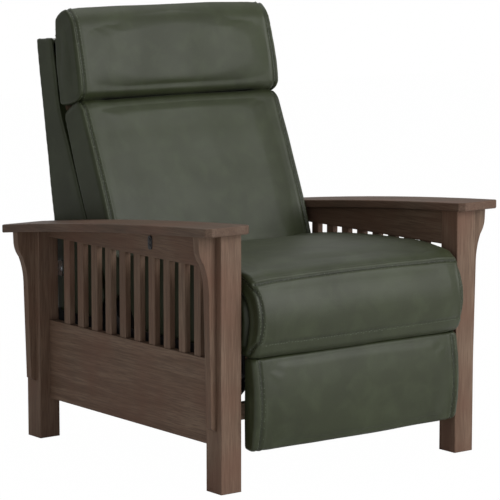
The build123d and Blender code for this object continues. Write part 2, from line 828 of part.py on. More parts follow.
def make_footrest():
    """Footrest board, brackets, pivot pins and leather pad."""
    rear, front = foot_board_rear, foot_board_rear - foot_board_thickness
    save("footrest_board", block(-foot_board_half_width, foot_board_half_width, front, rear,
                                 foot_pad_bottom + foot_board_margin, foot_pad_top - foot_board_margin))
    foot = (foot_pivot_y, foot_pivot_z)
    x0, x1 = bracket_inner, bracket_inner + bracket_thickness
    plate = board(x0, x1, [(rear, bracket_bottom), (rear, bracket_top), (rear + bracket_thickness, bracket_top),
                           (foot[0], foot[1] + link_half_width), (foot[0], foot[1] - link_half_width),
                           (rear + bracket_thickness, bracket_bottom)])
    plate += rod(x0, x1, *foot, link_half_width)
    flange = block(x0 - bracket_flange, x0, rear, rear + bracket_thickness / 2, bracket_bottom, bracket_top)
    bracket = plate + flange - rod(x0, x1, *foot, link_pin_radius)
    save("footrest_brackets", *pair(bracket))
    outer = foot_link_inner + link_thickness
    pin = rod(x0, outer + plate_clearance / 2, *foot, link_pin_radius)
    pin += rod(x0 - link_pin_head, x0, *foot, link_pin_head_radius)
    save("footrest_pins", *pair(pin))
    y1 = front - foot_pad_depth
    start = placed([[pad_start_share]], front, y1, foot_pad_bottom, foot_pad_top)[0][0]
    steps = placed(pad_shares, front, y1, foot_pad_bottom, foot_pad_top)
    centre = (front, (foot_pad_bottom + foot_pad_top) / 2)
    save("footrest_pad", cushion(foot_pad_half_width, centre, start, steps, thin_section_shares))


def make_drive():
    """Motor, rail, lead screw and the sled whose fork turns the crank."""
    h, w, front = drive_rail_half_width, drive_rail_wall, drive_rail_front
    rail = block(-h, h, front, motor_front, drive_rail_bottom, drive_rail_top)
    rail -= block(w - h, h - w, front + drive_rail_end, motor_front, drive_rail_bottom + w, drive_rail_top)
    length = screw_rear - front
    bore = Pos(0, (front + screw_rear) / 2, screw_height) * Rot(90, 0, 0)
    bore *= Cylinder(screw_radius + shaft_clearance, length)
    save("drive_rail", rail - bore)
    save("drive_screw", Pos(0, (front + screw_rear) / 2, screw_height) * Rot(90, 0, 0) * Cylinder(screw_radius, length))
    case = block(-motor_half_width, motor_half_width, motor_front, motor_rear, motor_bottom, motor_top)
    case = fillet(case.edges().filter_by(Axis.Y), motor_edge_radius)
    tube_y = cross_tube_places[1]
    case += block(-h, h, motor_rear, tube_y, motor_top - cross_tube_radius, cross_tube_height)
    case += rod(-h, h, tube_y, cross_tube_height, cross_tube_radius + motor_lug_wall)
    case -= rod(-h, h, tube_y, cross_tube_height, cross_tube_radius)
    save("drive_motor", case - bore)
    plates = []
    x0 = h + hanger_gap
    for x in (x0, -x0 - hanger_thickness):
        plates.append(block(x, x + hanger_thickness, hanger_front, hanger_rear, drive_rail_bottom - hanger_thickness,
                            seat_frame_bottom))
    floor = block(-x0, x0, hanger_front, hanger_rear, drive_rail_bottom - hanger_thickness, drive_rail_bottom)
    save("rail_hanger", floor + plates[0] + plates[1])
    y, z = turned(lift_pivot_y, lift_pivot_z, crank_start_angle, crank_radius)
    slot = crank_pin_radius + sled_slot_clearance
    reach = slot + sled_prong_wall
    outer = sled_prong_inner + sled_prong_thickness
    sled = block(-outer, outer, y - reach, y + reach, sled_base_bottom, sled_base_top)
    nut = sled_nut_half_length
    sled += block(-sled_nut_half_width, sled_nut_half_width, y - nut, y + nut, sled_nut_bottom, sled_base_bottom)
    for x in (sled_prong_inner, -outer):
        prong = block(x, x + sled_prong_thickness, y - reach, y + reach, sled_base_top, sled_prong_top)
        sled += prong - block(x, x + sled_prong_thickness, y - slot, y + slot, sled_base_top, sled_prong_top)
    hole = Pos(0, y, screw_height) * Rot(90, 0, 0) * Cylinder(screw_radius + shaft_clearance, 2 * reach)
    save("drive_sled", sled - hole)


def back_front_line(z):
    """Where the front edge of the back shell lies at a height."""
    a, b = back_shell_lip, back_shell_front_bend
    return a[0] + (z - a[1]) * (b[0] - a[0]) / (b[1] - a[1])


def back_rear_line(z, inset=0):
    """Where the rear of the back shell lies at a height, less an inset."""
    line = [back_shell_heel, back_shell_waist, back_shell_elbow, back_shell_shoulder, back_shell_top_rear]
    for a, b in zip(line, line[1:]):
        if z <= b[1] or b is line[-1]:
            return a[0] + (z - a[1]) * (b[0] - a[0]) / (b[1] - a[1]) - inset


def make_back_shell():
    """The upholstered outer back: two sides, a bent rear panel and a top, open at the front and below."""
    w, wall = back_shell_half_width, back_shell_wall
    outline = [back_shell_top_front, back_shell_top_rear, back_shell_shoulder, back_shell_elbow,
               back_shell_waist, back_shell_heel, back_shell_toe, back_shell_lip, back_shell_front_bend]
    side = board(w - wall, w, outline)
    rear_edges = side.edges().filter_by(lambda e: e.center().X > w - wall / 4 and
                                        e.center().Y > back_rear_line(e.center().Z, wall / 4))
    side = fillet(rear_edges, back_shell_edge_radius)
    heights = [p[1] for p in (back_shell_heel, back_shell_waist, back_shell_elbow, back_shell_shoulder,
                              back_shell_top_rear)]
    rear = [(back_rear_line(z), z) for z in heights] + [(back_rear_line(z, wall), z) for z in heights[::-1]]
    front, high, low = back_shell_top_front[0], heights[-1], heights[-1] - wall
    lid = [(front, high), (back_rear_line(high, wall), high), (back_rear_line(low, wall), low), (front, low)]
    return pair(side) + [board(wall - w, w - wall, rear), board(wall - w, w - wall, lid)]


def make_stile():
    """A deep upright board of the back frame."""
    zs = (stile_bottom, back_shell_waist[1], back_shell_elbow[1], back_shell_shoulder[1], stile_top)
    inset = back_shell_wall + stile_rear_gap
    rear = [(back_rear_line(z, inset), z) for z in zs]
    lip_y = back_front_line(back_shell_lip[1]) + stile_front_recess
    front = [(back_shell_front_bend[0] + stile_front_recess + (stile_top - back_shell_front_bend[1]) *
              (back_shell_top_front[0] - back_shell_front_bend[0]) /
              (back_shell_top_front[1] - back_shell_front_bend[1]), stile_top),
             (back_shell_front_bend[0] + stile_front_recess, back_shell_front_bend[1]),
             (lip_y, back_shell_lip[1]), (lip_y + back_rail_thickness, stile_bottom)]
    return board(stile_inner, stile_inner + stile_width, rear + front)


def make_back_rails():
    """Cross rails of the back frame, and the rail that carries the headrest hinges."""
    rails = []
    for share in back_rail_shares:
        z = stile_bottom + (stile_top - stile_bottom) * share
        rear = back_rear_line(z, back_shell_wall + stile_rear_gap + back_rail_thickness / 2)
        half = back_rail_thickness / 2
        depth = min(back_rail_depth, rear - back_front_line(z) - 2 * stile_front_recess)
        rails.append(block(-stile_inner, stile_inner, rear - depth, rear, z - half, z + half))
    y0 = headrest_rail_front
    rails.append(block(-stile_inner, stile_inner, y0, y0 + headrest_rail_depth,
                       headrest_rail_bottom, headrest_rail_top))
    return rails


def make_back_bracket():
    """The steel bracket that joins a stile to the back hinge."""
    x1 = seat_plate_inner - plate_clearance
    x0 = x1 - back_bracket_thickness
    lip = back_front_line(back_shell_lip[1]) + stile_front_recess
    top_y = back_front_line(back_bracket_top) + stile_front_recess
    pivot = (back_pivot_y, back_pivot_z)
    plate = board(x0, x1, [(top_y, back_bracket_top), (top_y + back_ear_radius, back_bracket_top),
                           (back_bracket_heel, stile_bottom),
                           (pivot[0], pivot[1] - back_ear_radius), (pivot[0], pivot[1] + back_ear_radius),
                           (lip, back_shell_lip[1])])
    plate += rod(x0, x1, *pivot, back_ear_radius)
    return plate - rod(x0, x1, *pivot, hinge_pin_radius + shaft_clearance)


def make_webbing():
    """Elastic straps across the front of the back frame, under the cushion."""
    straps = []
    low, high = back_shell_lip, between(back_shell_lip, back_shell_front_bend, webbing_reach_share)
    length = hypot(high[0] - low[0], high[1] - low[1])
    half = webbing_width / length / 2
    gap = stile_front_recess - webbing_thickness
    for i in range(webbing_count):
        share = (i + 1 / 2) / webbing_count
        a, b = between(low, high, share - half), between(low, high, share + half)
        near, far = gap, stile_front_recess
        points = [(a[0] + near, a[1]), (b[0] + near, b[1]), (b[0] + far, b[1]), (a[0] + far, a[1])]
        straps.append(board(-stile_inner - stile_width, stile_inner + stile_width, points))
    return straps


def make_back():
    """Shell, frame, brackets, webbing and cushion of the back."""
    save("back_shell", *make_back_shell())
    stile = make_stile()
    save("back_stiles", *pair(stile))
    save("back_rails", *make_back_rails())
    save("back_brackets", *pair(make_back_bracket()))
    save("back_webbing", *make_webbing())
    low, line, front = back_cushion_bottom_front, back_cushion_seat_line, back_cushion_top_front
    middle = between(line, front, 1 / 2)
    length = hypot(front[0] - line[0], front[1] - line[1])
    out = back_cushion_bulge / length
    bulge = (middle[0] - out * (front[1] - line[1]), middle[1] + out * (front[0] - line[0]))
    top_mid = between(front, back_cushion_top, 1 / 2)
    lift = (back_cushion_top[1] - front[1]) / 4
    bottom_rear = (back_shell_lip[0] - soft_clearance, back_shell_lip[1])
    steps = [[line], [bulge, front], [(top_mid[0] - lift, top_mid[1] + lift), back_cushion_top],
             [back_cushion_top_rear], [bottom_rear]]
    centre = between(bottom_rear, back_cushion_top_rear, 1 / 2)
    save("back_cushion", cushion(back_cushion_half_width, centre, low, steps, thin_section_shares))


def gap_line(y):
    """Middle height of the slit between back cushion and headrest."""
    share = (y - headrest_pivot_y) / (headrest_rear_low[0] - headrest_pivot_y)
    low = (headrest_rear_low[1] + back_cushion_top_rear[1]) / 2
    return headrest_pivot_z + share * (low - headrest_pivot_z)


def hinge_strap(x0, x1, y1, side):
    """A strap along the slit from the headrest hinge to a place behind it, above or below its middle."""
    y0, t = headrest_pivot_y, hinge_leaf_thickness * side
    return board(x0, x1, [(y0, headrest_pivot_z), (y1, gap_line(y1)), (y1, gap_line(y1) + t),
                          (y0, headrest_pivot_z + t)])


def make_hinge_base():
    """The fixed leaf of a headrest hinge: two straps and knuckles, a flange on the rail, and the pin."""
    half, third = hinge_leaf_width / 2, hinge_leaf_width / 6
    x, y, z = headrest_hinge_place, headrest_pivot_y, headrest_pivot_z
    rail = headrest_rail_front
    base = block(x - half, x + half, rail - hinge_leaf_thickness, rail, headrest_rail_bottom,
                 gap_line(rail) - hinge_leaf_thickness / 2)
    for x0, x1 in ((x - half, x - third), (x + third, x + half)):
        base += hinge_strap(x0, x1, rail, -1) + rod(x0, x1, y, z, hinge_knuckle_radius)
    return base + rod(x - half, x + half, y, z, headrest_hinge_pin_radius)


def make_hinge_arm():
    """The moving leaf, whose plate runs up the back of the headrest board."""
    third = hinge_leaf_width / 6 - plate_clearance / 4
    x, y, z = headrest_hinge_place, headrest_pivot_y, headrest_pivot_z
    low, high, t = headrest_board_low, headrest_board_high, hinge_leaf_thickness
    top, heel = between(low, high, 1 / 2), gap_line(low[0])
    plate = board(x - third, x + third, [(low[0], heel), low, top, (top[0] + t, top[1]), (low[0] + t, low[1]),
                                         (low[0] + t, gap_line(low[0] + t))])
    plate += hinge_strap(x - third, x + third, low[0] + t, 1)
    plate += rod(x - third, x + third, y, z, hinge_knuckle_radius)
    return plate - rod(x - third, x + third, y, z, headrest_hinge_pin_radius + shaft_clearance)


def lever_path():
    """Where the lever's pin lies with the headrest down and tipped, and the middle of its loose eye."""
    y, z = headrest_lever_y - headrest_pivot_y, headrest_lever_z - headrest_pivot_z
    swing = radians(headrest_angle)
    tipped = (headrest_pivot_y + y * cos(swing) - z * sin(swing), headrest_pivot_z + y * sin(swing) + z * cos(swing))
    sag = hypot(y, z) * (1 - cos(swing / 2)) / 2
    along = ((tipped[0] - headrest_lever_y), (tipped[1] - headrest_lever_z))
    travel = hypot(*along)
    way = (along[0] / travel, along[1] / travel)
    eye = (headrest_lever_y + way[1] * sag, headrest_lever_z - way[0] * sag)
    return way, travel, eye, sag


def tilted_rod(foot, way, start, end, radius):
    """A round bar along the headrest drive's slant, between two distances from its foot."""
    y, z = foot[0] + way[0] * start, foot[1] + way[1] * start
    return extrude(Plane((0, y, z), z_dir=(0, *way)) * Circle(radius), end - start)


def make_headrest_drive():
    """The small drive inside the back, and the rod whose loose eye holds the lever's pin."""
    way, travel, eye, sag = lever_path()
    z = stile_bottom + (stile_top - stile_bottom) * back_rail_shares[1] + back_rail_thickness / 2
    start = (eye[0] + (z - eye[1]) * way[0] / way[1], z)
    r = headrest_motor_radius
    motor = tilted_rod(start, way, r / 2, headrest_motor_length, r)
    motor += block(-r, r, start[0] - r, start[0] + r, z, z + headrest_motor_foot)
    reach = hypot(eye[0] - start[0], eye[1] - start[1])
    inner = reach - headrest_rod_length
    motor -= tilted_rod(start, way, inner, headrest_motor_length, headrest_rod_radius + shaft_clearance)
    save("headrest_motor", motor)
    hole = headrest_pin_radius + sag + headrest_eye_clearance
    outer = hole + headrest_eye_wall
    gap, wide = headrest_eye_gap, headrest_eye_gap + headrest_eye_thickness
    neck = reach - outer - headrest_eye_thickness
    fork = tilted_rod(start, way, inner + slide_clearance, neck, headrest_rod_radius)
    low = (start[0] + way[0] * neck, start[1] + way[1] * neck)
    side = (way[1] * headrest_rod_radius, -way[0] * headrest_rod_radius)
    corners = [(low[0] + side[0], low[1] + side[1]), (eye[0] + side[0], eye[1] + side[1]),
               (eye[0] - side[0], eye[1] - side[1]), (low[0] - side[0], low[1] - side[1])]
    for x in (gap, -wide):
        cheek = board(x, x + headrest_eye_thickness, corners) + rod(x, x + headrest_eye_thickness, *eye, outer)
        fork += cheek - rod(x, x + headrest_eye_thickness, *eye, hole)
    t = headrest_eye_thickness
    high = (low[0] + way[0] * t, low[1] + way[1] * t)
    bridge = [corners[0], (high[0] + side[0], high[1] + side[1]), (high[0] - side[0], high[1] - side[1]), corners[3]]
    save("headrest_rod", fork + board(-wide, wide, bridge))


def lever_outline(grow):
    """Side outline of the headrest's lever, from the board to its pin, grown by a margin."""
    low, pin, half = headrest_board_low, (headrest_lever_y, headrest_lever_z), headrest_lever_half_width + grow
    root = between(low, headrest_board_high, headrest_lever_root_share)
    length = hypot(pin[0] - root[0], pin[1] - root[1])
    ny, nz = (root[1] - pin[1]) / length * half, (pin[0] - root[0]) / length * half
    inner = root[0] - headrest_board_thickness / 2
    return [(inner, root[1] - half), (root[0], root[1] - half), (pin[0] - ny, pin[1] - nz),
            (pin[0] + ny, pin[1] + nz), (root[0], root[1] + half), (inner, root[1] + half)]


def make_lever():
    """The lever on the headrest board that the rod pushes."""
    half = headrest_lever_thickness / 2
    pin = (headrest_lever_y, headrest_lever_z)
    lever = board(-half, half, lever_outline(0)) + rod(-half, half, *pin, headrest_lever_half_width)
    lever += rod(-headrest_pin_half_length, headrest_pin_half_length, *pin, headrest_pin_radius)
    return lever - headrest_board_solid()


def headrest_board_solid():
    """The plywood board inside the headrest."""
    low, high = headrest_board_low, headrest_board_high
    t, w = headrest_board_thickness, headrest_board_half_width
    return board(-w, w, [low, high, (high[0] - t, high[1]), (low[0] - t, low[1])])


def make_headrest():
    """Headrest board, hinges, lever and the cushion that is fitted over them."""
    front_low, foot, rear_low = headrest_front_low, headrest_front_foot, headrest_rear_low
    rear_top, crest, front_top = headrest_rear_top, headrest_crest, headrest_front_top
    out = headrest_bulge
    rear_mid, front_mid = between(rear_low, rear_top, 1 / 2), between(front_top, front_low, 1 / 2)
    top_mid, brow_mid = between(rear_top, crest, 1 / 2), between(crest, front_top, 1 / 2)
    chin_mid = between(front_low, foot, 1 / 2)
    steps = [
        [(rear_mid[0] + out, rear_mid[1]), rear_top],
        [(top_mid[0] + out, top_mid[1] + out), crest],
        [(brow_mid[0] - out, brow_mid[1] + out), front_top],
        [(front_mid[0] - out, front_mid[1]), front_low],
        [(chin_mid[0] - out / 2, chin_mid[1] - out / 2), foot],
    ]
    low, high = headrest_board_low, headrest_board_high
    centre = between(low, high, 1 / 2)
    form = cushion(headrest_half_width, centre, rear_low, steps, thin_section_shares)
    save("headrest_board", headrest_board_solid())
    arm = make_hinge_arm()
    third, t, gap = hinge_leaf_width / 6, hinge_leaf_thickness, soft_clearance
    top, heel = between(low, high, 1 / 2), low[1] - hinge_leaf_width
    near, far = -gap, t + gap
    pocket = board(-third, third, [(low[0] + near, heel), (low[0] + near, low[1]), (top[0] + near, top[1] + gap),
                                   (top[0] + far, top[1] + gap), (low[0] + far, low[1]), (low[0] + far, heel)])
    form -= headrest_board_solid()
    for x in (headrest_hinge_place, -headrest_hinge_place):
        form -= Pos(x, 0, 0) * pocket
    half = headrest_lever_thickness / 2 + gap
    form -= board(-half, half, lever_outline(gap))
    save("headrest_cushion", form)
    save("headrest_hinge_arms", *pair(arm), make_lever())
    save("headrest_hinge_bases", *pair(make_hinge_base()))


make_timber()
make_fixed_steel()
make_switch()
make_supply()
make_seat_frame()
make_seat_cushion()
make_lift()
make_foot_link()
make_footrest()
make_drive()
make_back()
make_headrest_drive()
make_headrest()
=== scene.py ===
from math import cos, exp, pi, radians, sin

import bmesh
import bpy
from mathutils import Matrix, Vector, kdtree, noise
from mathutils.bvhtree import BVHTree


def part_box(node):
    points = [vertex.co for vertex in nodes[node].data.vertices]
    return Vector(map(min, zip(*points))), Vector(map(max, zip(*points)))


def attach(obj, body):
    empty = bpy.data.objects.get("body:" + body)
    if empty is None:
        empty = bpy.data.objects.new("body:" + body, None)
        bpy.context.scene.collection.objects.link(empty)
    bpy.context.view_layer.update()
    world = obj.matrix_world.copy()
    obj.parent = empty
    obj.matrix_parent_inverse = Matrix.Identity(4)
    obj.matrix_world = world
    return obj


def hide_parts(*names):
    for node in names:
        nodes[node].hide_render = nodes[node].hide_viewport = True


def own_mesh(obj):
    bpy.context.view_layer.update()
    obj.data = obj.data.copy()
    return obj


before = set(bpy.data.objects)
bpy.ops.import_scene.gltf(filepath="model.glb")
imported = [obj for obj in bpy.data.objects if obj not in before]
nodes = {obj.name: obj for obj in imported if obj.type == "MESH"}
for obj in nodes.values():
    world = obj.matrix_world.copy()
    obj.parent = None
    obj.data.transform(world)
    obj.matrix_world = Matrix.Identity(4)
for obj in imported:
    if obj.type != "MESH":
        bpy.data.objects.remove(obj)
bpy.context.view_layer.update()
scene = bpy.context.scene

# Studio: a pale floor that keeps the chair's shadow, a white backdrop from the world, and large soft lamps on
# all sides. The camera stands in front of the sitter's right arm, a long way off, a little above it.
camera_place = Vector((-3.688, -4.816, 1.355))
camera_yaw, camera_pitch = radians(37.51), radians(8.22)
camera_lens, camera_reach = 182.0, 50
floor_half = 9.0
floor_colour, floor_whiteness = (0.9, 0.9, 0.9, 1), 0.995
backdrop_light, room_light, reflected_share = 1.0, 0.30, 0.2
lamp_aim = Vector((0, 0, 0.5))
lamps = {
    "key_lamp": ((1.7, -3.8, 2.3), 3.0, 146.0),
    "side_lamp": ((-3.4, -3.2, 1.2), 2.2, 20.0),
    "top_lamp": ((0.2, 0.4, 3.4), 2.4, 34.0),
    "rear_lamp": ((1.0, 4.0, 2.6), 3.0, 22.0),
}


def node_graph(owner):
    """An empty node tree of a material or world, and its output node."""
    owner.use_nodes = True
    tree = owner.node_tree
    tree.nodes.clear()
    kind = "ShaderNodeOutputWorld" if isinstance(owner, bpy.types.World) else "ShaderNodeOutputMaterial"
    return tree, tree.nodes.new(kind)


def add(tree, kind, **values):
    """A node with some of its input sockets set by name."""
    made = tree.nodes.new(kind)
    for key, value in values.items():
        made.inputs[key.replace("_", " ")].default_value = value
    return made


def feed(tree, node, **sockets):
    """Link outputs of other nodes to a node's input sockets by name."""
    for key, value in sockets.items():
        tree.links.new(value, node.inputs[key.replace("_", " ")])


def maths(tree, operation, first, second):
    """A Math node between two sockets or numbers."""
    made = tree.nodes.new("ShaderNodeMath")
    made.operation = operation
    for slot_number, value in enumerate((first, second)):
        if isinstance(value, (int, float)):
            made.inputs[slot_number].default_value = value
        else:
            tree.links.new(value, made.inputs[slot_number])
    return made.outputs[0]


def ranged(tree, value, low, high, to_low=0.0, to_high=1.0):
    """A value stretched from one range to another, and held inside it."""
    made = add(tree, "ShaderNodeMapRange", From_Min=low, From_Max=high, To_Min=to_low, To_Max=to_high)
    feed(tree, made, Value=value)
    return made.outputs["Result"]


def lit_background(tree):
    """White where the camera looks, grey in reflections, and a darker grey where it only lights."""
    path = tree.nodes.new("ShaderNodeLightPath").outputs
    mirrored = maths(tree, "MULTIPLY", path["Is Glossy Ray"], reflected_share)
    seen = maths(tree, "MAXIMUM", path["Is Camera Ray"], mirrored)
    seen_through = maths(tree, "MAXIMUM", seen, path["Is Transmission Ray"])
    return ranged(tree, seen_through, low=0.0, high=1.0, to_low=room_light, to_high=backdrop_light)


world = bpy.data.worlds.new("studio_air")
scene.world = world
air, air_out = node_graph(world)
backdrop = add(air, "ShaderNodeBackground", Color=(1, 1, 1, 1))
feed(air, backdrop, Strength=lit_background(air))
feed(air, air_out, Surface=backdrop.outputs[0])

floor_mesh = bpy.data.meshes.new("studio_floor")
floor_corners = [(-floor_half, -floor_half, 0), (floor_half, -floor_half, 0),
                 (floor_half, floor_half, 0), (-floor_half, floor_half, 0)]
floor_mesh.from_pydata(floor_corners, [], [(0, 1, 2, 3)])
floor = bpy.data.objects.new("studio_floor", floor_mesh)
scene.collection.objects.link(floor)
floor_finish = bpy.data.materials.new("studio_floor")
ground, ground_out = node_graph(floor_finish)
matt = add(ground, "ShaderNodeBsdfDiffuse", Color=floor_colour)
glow = ground.nodes.new("ShaderNodeEmission")
camera_rays = ground.nodes.new("ShaderNodeLightPath").outputs["Is Camera Ray"]
blend = ground.nodes.new("ShaderNodeMixShader")
feed(ground, blend, Fac=maths(ground, "MULTIPLY", camera_rays, floor_whiteness))
ground.links.new(matt.outputs[0], blend.inputs[1])
ground.links.new(glow.outputs[0], blend.inputs[2])
feed(ground, ground_out, Surface=blend.outputs[0])
floor_mesh.materials.append(floor_finish)

for lamp_name, (place, size, power) in lamps.items():
    lamp_data = bpy.data.lights.new(lamp_name, "AREA")
    lamp_data.shape = "SQUARE"
    lamp_data.size = size
    lamp_data.energy = power
    lamp = bpy.data.objects.new(lamp_name, lamp_data)
    lamp.location = place
    lamp.rotation_euler = (lamp_aim - lamp.location).to_track_quat("-Z", "Y").to_euler()
    scene.collection.objects.link(lamp)

camera_data = bpy.data.cameras.new("camera")
camera_data.lens = camera_lens
camera_data.clip_end = camera_reach
camera = bpy.data.objects.new("camera", camera_data)
camera.location = camera_place
forward = Vector((sin(camera_yaw) * cos(camera_pitch), cos(camera_yaw) * cos(camera_pitch),
                  -sin(camera_pitch)))
camera.rotation_euler = forward.to_track_quat("-Z", "Y").to_euler()
scene.collection.objects.link(camera)
scene.camera = camera
scene.view_settings.view_transform = "Standard"

# Timber frame: solid ash with a grey-brown stain under a thin dull lacquer, the arms a shade darker. The grain
# runs up the posts, corbels and slats, and along the arms, rails and panels. The arrises are rubbed pale, and
# the rails and boards inside are left bare.
grain_up = (1.0, 1.0, 0.045)
grain_along = (1.0, 0.045, 1.0)
grain_across = (0.045, 1.0, 1.0)
# A red that the wood's tone drifts toward at random, painted in for warm light bounced onto shaded faces.
drift_and_bounce_red = (0.132, 0.066, 0.044, 1)
stain = {"dark": (0.076, 0.045, 0.030, 1), "body": (0.140, 0.090, 0.061, 1),
         "light": (0.198, 0.136, 0.096, 1), "red_share": 0.6}
# The arms take a darker copy of the frame's colours.
arm_darker_tones = {"dark": (0.052, 0.031, 0.021, 1), "body": (0.096, 0.063, 0.044, 1),
             "light": (0.140, 0.098, 0.071, 1), "red_share": 0.4}
bare_wood = {"dark": (0.09, 0.058, 0.036, 1), "body": (0.17, 0.115, 0.075, 1),
             "light": (0.24, 0.165, 0.11, 1), "red_share": 0.05}
timbers = {
    "stained_timber_up": (grain_up, stain, [
        "front_post_left", "front_post_right", "rear_post_left", "rear_post_right", "corbels", "slats_left",
        "slats_right"]),
    "stained_timber_along": (grain_along, stain, [
        "upper_rail_left", "upper_rail_right", "side_panel_left", "side_panel_right"]),
    "stained_timber_across": (grain_across, stain, ["rear_panel"]),
    "stained_timber_arms": (grain_along, arm_darker_tones, ["arm_left", "arm_right"]),
    "bare_timber_across": (grain_across, bare_wood, [
        "front_cross_rail", "seat_front_rail", "seat_rear_rail", "back_rails", "headrest_board",
        "footrest_board"]),
    "bare_timber_up": (grain_up, bare_wood, ["back_stiles"]),
}
pore_share = 0.5
flat_lean, sharp_lean = 0.995, 0.86
arris_width, arris_share = 0.0028, 0.55
middle = (0.3, 0.7)


def mixed(tree, factor, first, second):
    """A colour mix of sockets or plain colours."""
    made = tree.nodes.new("ShaderNodeMix")
    made.data_type = "RGBA"
    for key, value in (("Factor", factor), ("A", first), ("B", second)):
        socket = next(s for s in made.inputs if s.name == key and s.enabled)
        if isinstance(value, bpy.types.NodeSocket):
            tree.links.new(value, socket)
        else:
            socket.default_value = value
    return next(s for s in made.outputs if s.enabled)


def new_group(name, inputs, outputs):
    """A shader node group with named sockets, and its two end nodes."""
    tree = bpy.data.node_groups.new(name, "ShaderNodeTree")
    for key, kind, value in inputs:
        socket = tree.interface.new_socket(key, in_out="INPUT", socket_type=kind)
        if value is not None:
            socket.default_value = value
    for key, kind in outputs:
        tree.interface.new_socket(key, in_out="OUTPUT", socket_type=kind)
    return tree, tree.nodes.new("NodeGroupInput"), tree.nodes.new("NodeGroupOutput")


def on_piece(tree):
    """Places on a piece, in its own frame."""
    return tree.nodes.new("ShaderNodeTexCoord").outputs["Object"]


def squeezed(tree, squeeze):
    """Places on a piece, scaled so that a pattern is drawn out along one direction."""
    mapping = add(tree, "ShaderNodeMapping", Scale=squeeze)
    feed(tree, mapping, Vector=on_piece(tree))
    return mapping.outputs["Vector"]


def noise_of(tree, vector, scale, detail, distortion=0.0):
    """A noise node's value, read along a vector."""
    made = add(tree, "ShaderNodeTexNoise", Scale=scale, Detail=detail, Distortion=distortion)
    feed(tree, made, Vector=vector)
    return made.outputs["Fac"]


def rough_by(tree, value, low, high):
    """A roughness that follows a noise's middle range between two limits."""
    return ranged(tree, value, *middle, low, high)


def wood_grain_group():
    """Long fibres, broad figure and open pores, from a vector squeezed along the board."""
    tree, start, end = new_group(
        "wood_grain",
        [("Vector", "NodeSocketVector", None), ("Dark", "NodeSocketColor", stain["dark"]),
         ("Body", "NodeSocketColor", stain["body"]), ("Light", "NodeSocketColor", stain["light"])],
        [("Colour", "NodeSocketColor"), ("Roughness", "NodeSocketFloat"), ("Height", "NodeSocketFloat")])
    given = start.outputs
    figure = noise_of(tree, given["Vector"], scale=26.0, detail=5.0, distortion=1.4)
    fibre = noise_of(tree, given["Vector"], scale=330.0, detail=3.0, distortion=0.3)
    pores = noise_of(tree, given["Vector"], scale=620.0, detail=2.0)
    base = mixed(tree, ranged(tree, figure, low=0.36, high=0.66), given["Body"], given["Light"])
    shaded = mixed(tree, ranged(tree, fibre, low=0.62, high=0.38, to_high=0.55), base, given["Dark"])
    pore_mask = ranged(tree, pores, low=0.40, high=0.31)
    feed(tree, end, Colour=mixed(tree, maths(tree, "MULTIPLY", pore_mask, pore_share), shaded, given["Dark"]),
         Roughness=rough_by(tree, fibre, 0.52, 0.66), Height=maths(tree, "SUBTRACT", fibre, pore_mask))
    return tree


def edge_wear_group():
    """Where two faces meet: a mask from how far the rounded normal leans away from the face."""
    tree, start, end = new_group(
        "edge_wear", [("Width", "NodeSocketFloat", 0.003)],
        [("Mask", "NodeSocketFloat"), ("Normal", "NodeSocketVector")])
    rounded = tree.nodes.new("ShaderNodeBevel")
    rounded.samples = 4
    feed(tree, rounded, Radius=start.outputs["Width"])
    lean = tree.nodes.new("ShaderNodeVectorMath")
    lean.operation = "DOT_PRODUCT"
    tree.links.new(rounded.outputs["Normal"], lean.inputs[0])
    tree.links.new(tree.nodes.new("ShaderNodeNewGeometry").outputs["True Normal"], lean.inputs[1])
    edge = ranged(tree, lean.outputs["Value"], flat_lean, sharp_lean)
    patches = ranged(tree, noise_of(tree, on_piece(tree), scale=38.0, detail=3.0), low=0.30, high=0.62)
    feed(tree, end, Mask=maths(tree, "MULTIPLY", edge, patches), Normal=rounded.outputs["Normal"])
    return tree


wood_grain = wood_grain_group()
edge_wear = edge_wear_group()


def placed_group(tree, group, **values):
    """A node group placed in a material, with its own values."""
    made = tree.nodes.new("ShaderNodeGroup")
    made.node_tree = group
    for key, value in values.items():
        made.inputs[key].default_value = value
    return made


def surface(name, **sockets):
    """A material with one Principled shader whose constant sockets are set here."""
    material = bpy.data.materials.new(name)
    tree, out = node_graph(material)
    shader = add(tree, "ShaderNodeBsdfPrincipled", **sockets)
    feed(tree, out, Surface=shader.outputs[0])
    return material, tree, shader


def raised(tree, shader, height, distance, strength=1.0, normal=None):
    """A bump from a height, over an already rounded normal where there is one."""
    bump = add(tree, "ShaderNodeBump", Strength=strength, Distance=distance)
    feed(tree, bump, Height=height)
    if normal is not None:
        feed(tree, bump, Normal=normal)
    feed(tree, shader, Normal=bump.outputs["Normal"])


def timber_finish(name, squeeze, dark, body, light, red_share):
    """Grain along one direction, a drift to red from board to board as painted bounce light, and pale arrises.
    """
    material, tree, shader = surface(name, Specular_IOR_Level=0.18)
    grain = placed_group(tree, wood_grain, Dark=dark, Body=body, Light=light)
    feed(tree, grain, Vector=squeezed(tree, squeeze))
    # painted warm bounce light: the tone drifts toward red at random
    drift = noise_of(tree, on_piece(tree), scale=7.0, detail=2.0)
    toned = mixed(tree, ranged(tree, drift, low=0.38, high=0.68, to_high=red_share), grain.outputs["Colour"],
                  drift_and_bounce_red)
    worn = placed_group(tree, edge_wear, Width=arris_width)
    pale = mixed(tree, maths(tree, "MULTIPLY", worn.outputs["Mask"], arris_share), toned, light)
    feed(tree, shader, Base_Color=pale, Roughness=grain.outputs["Roughness"])
    raised(tree, shader, grain.outputs["Height"], distance=0.00022, strength=0.5,
           normal=worn.outputs["Normal"])
    return material


def dress(names, material):
    """Give CAD pieces a finish."""
    for piece_name in names:
        data = nodes[piece_name].data
        data.materials.clear()
        data.materials.append(material)


for finish_name, (squeeze, colours, names) in timbers.items():
    dress(names, timber_finish(finish_name, squeeze, **colours))

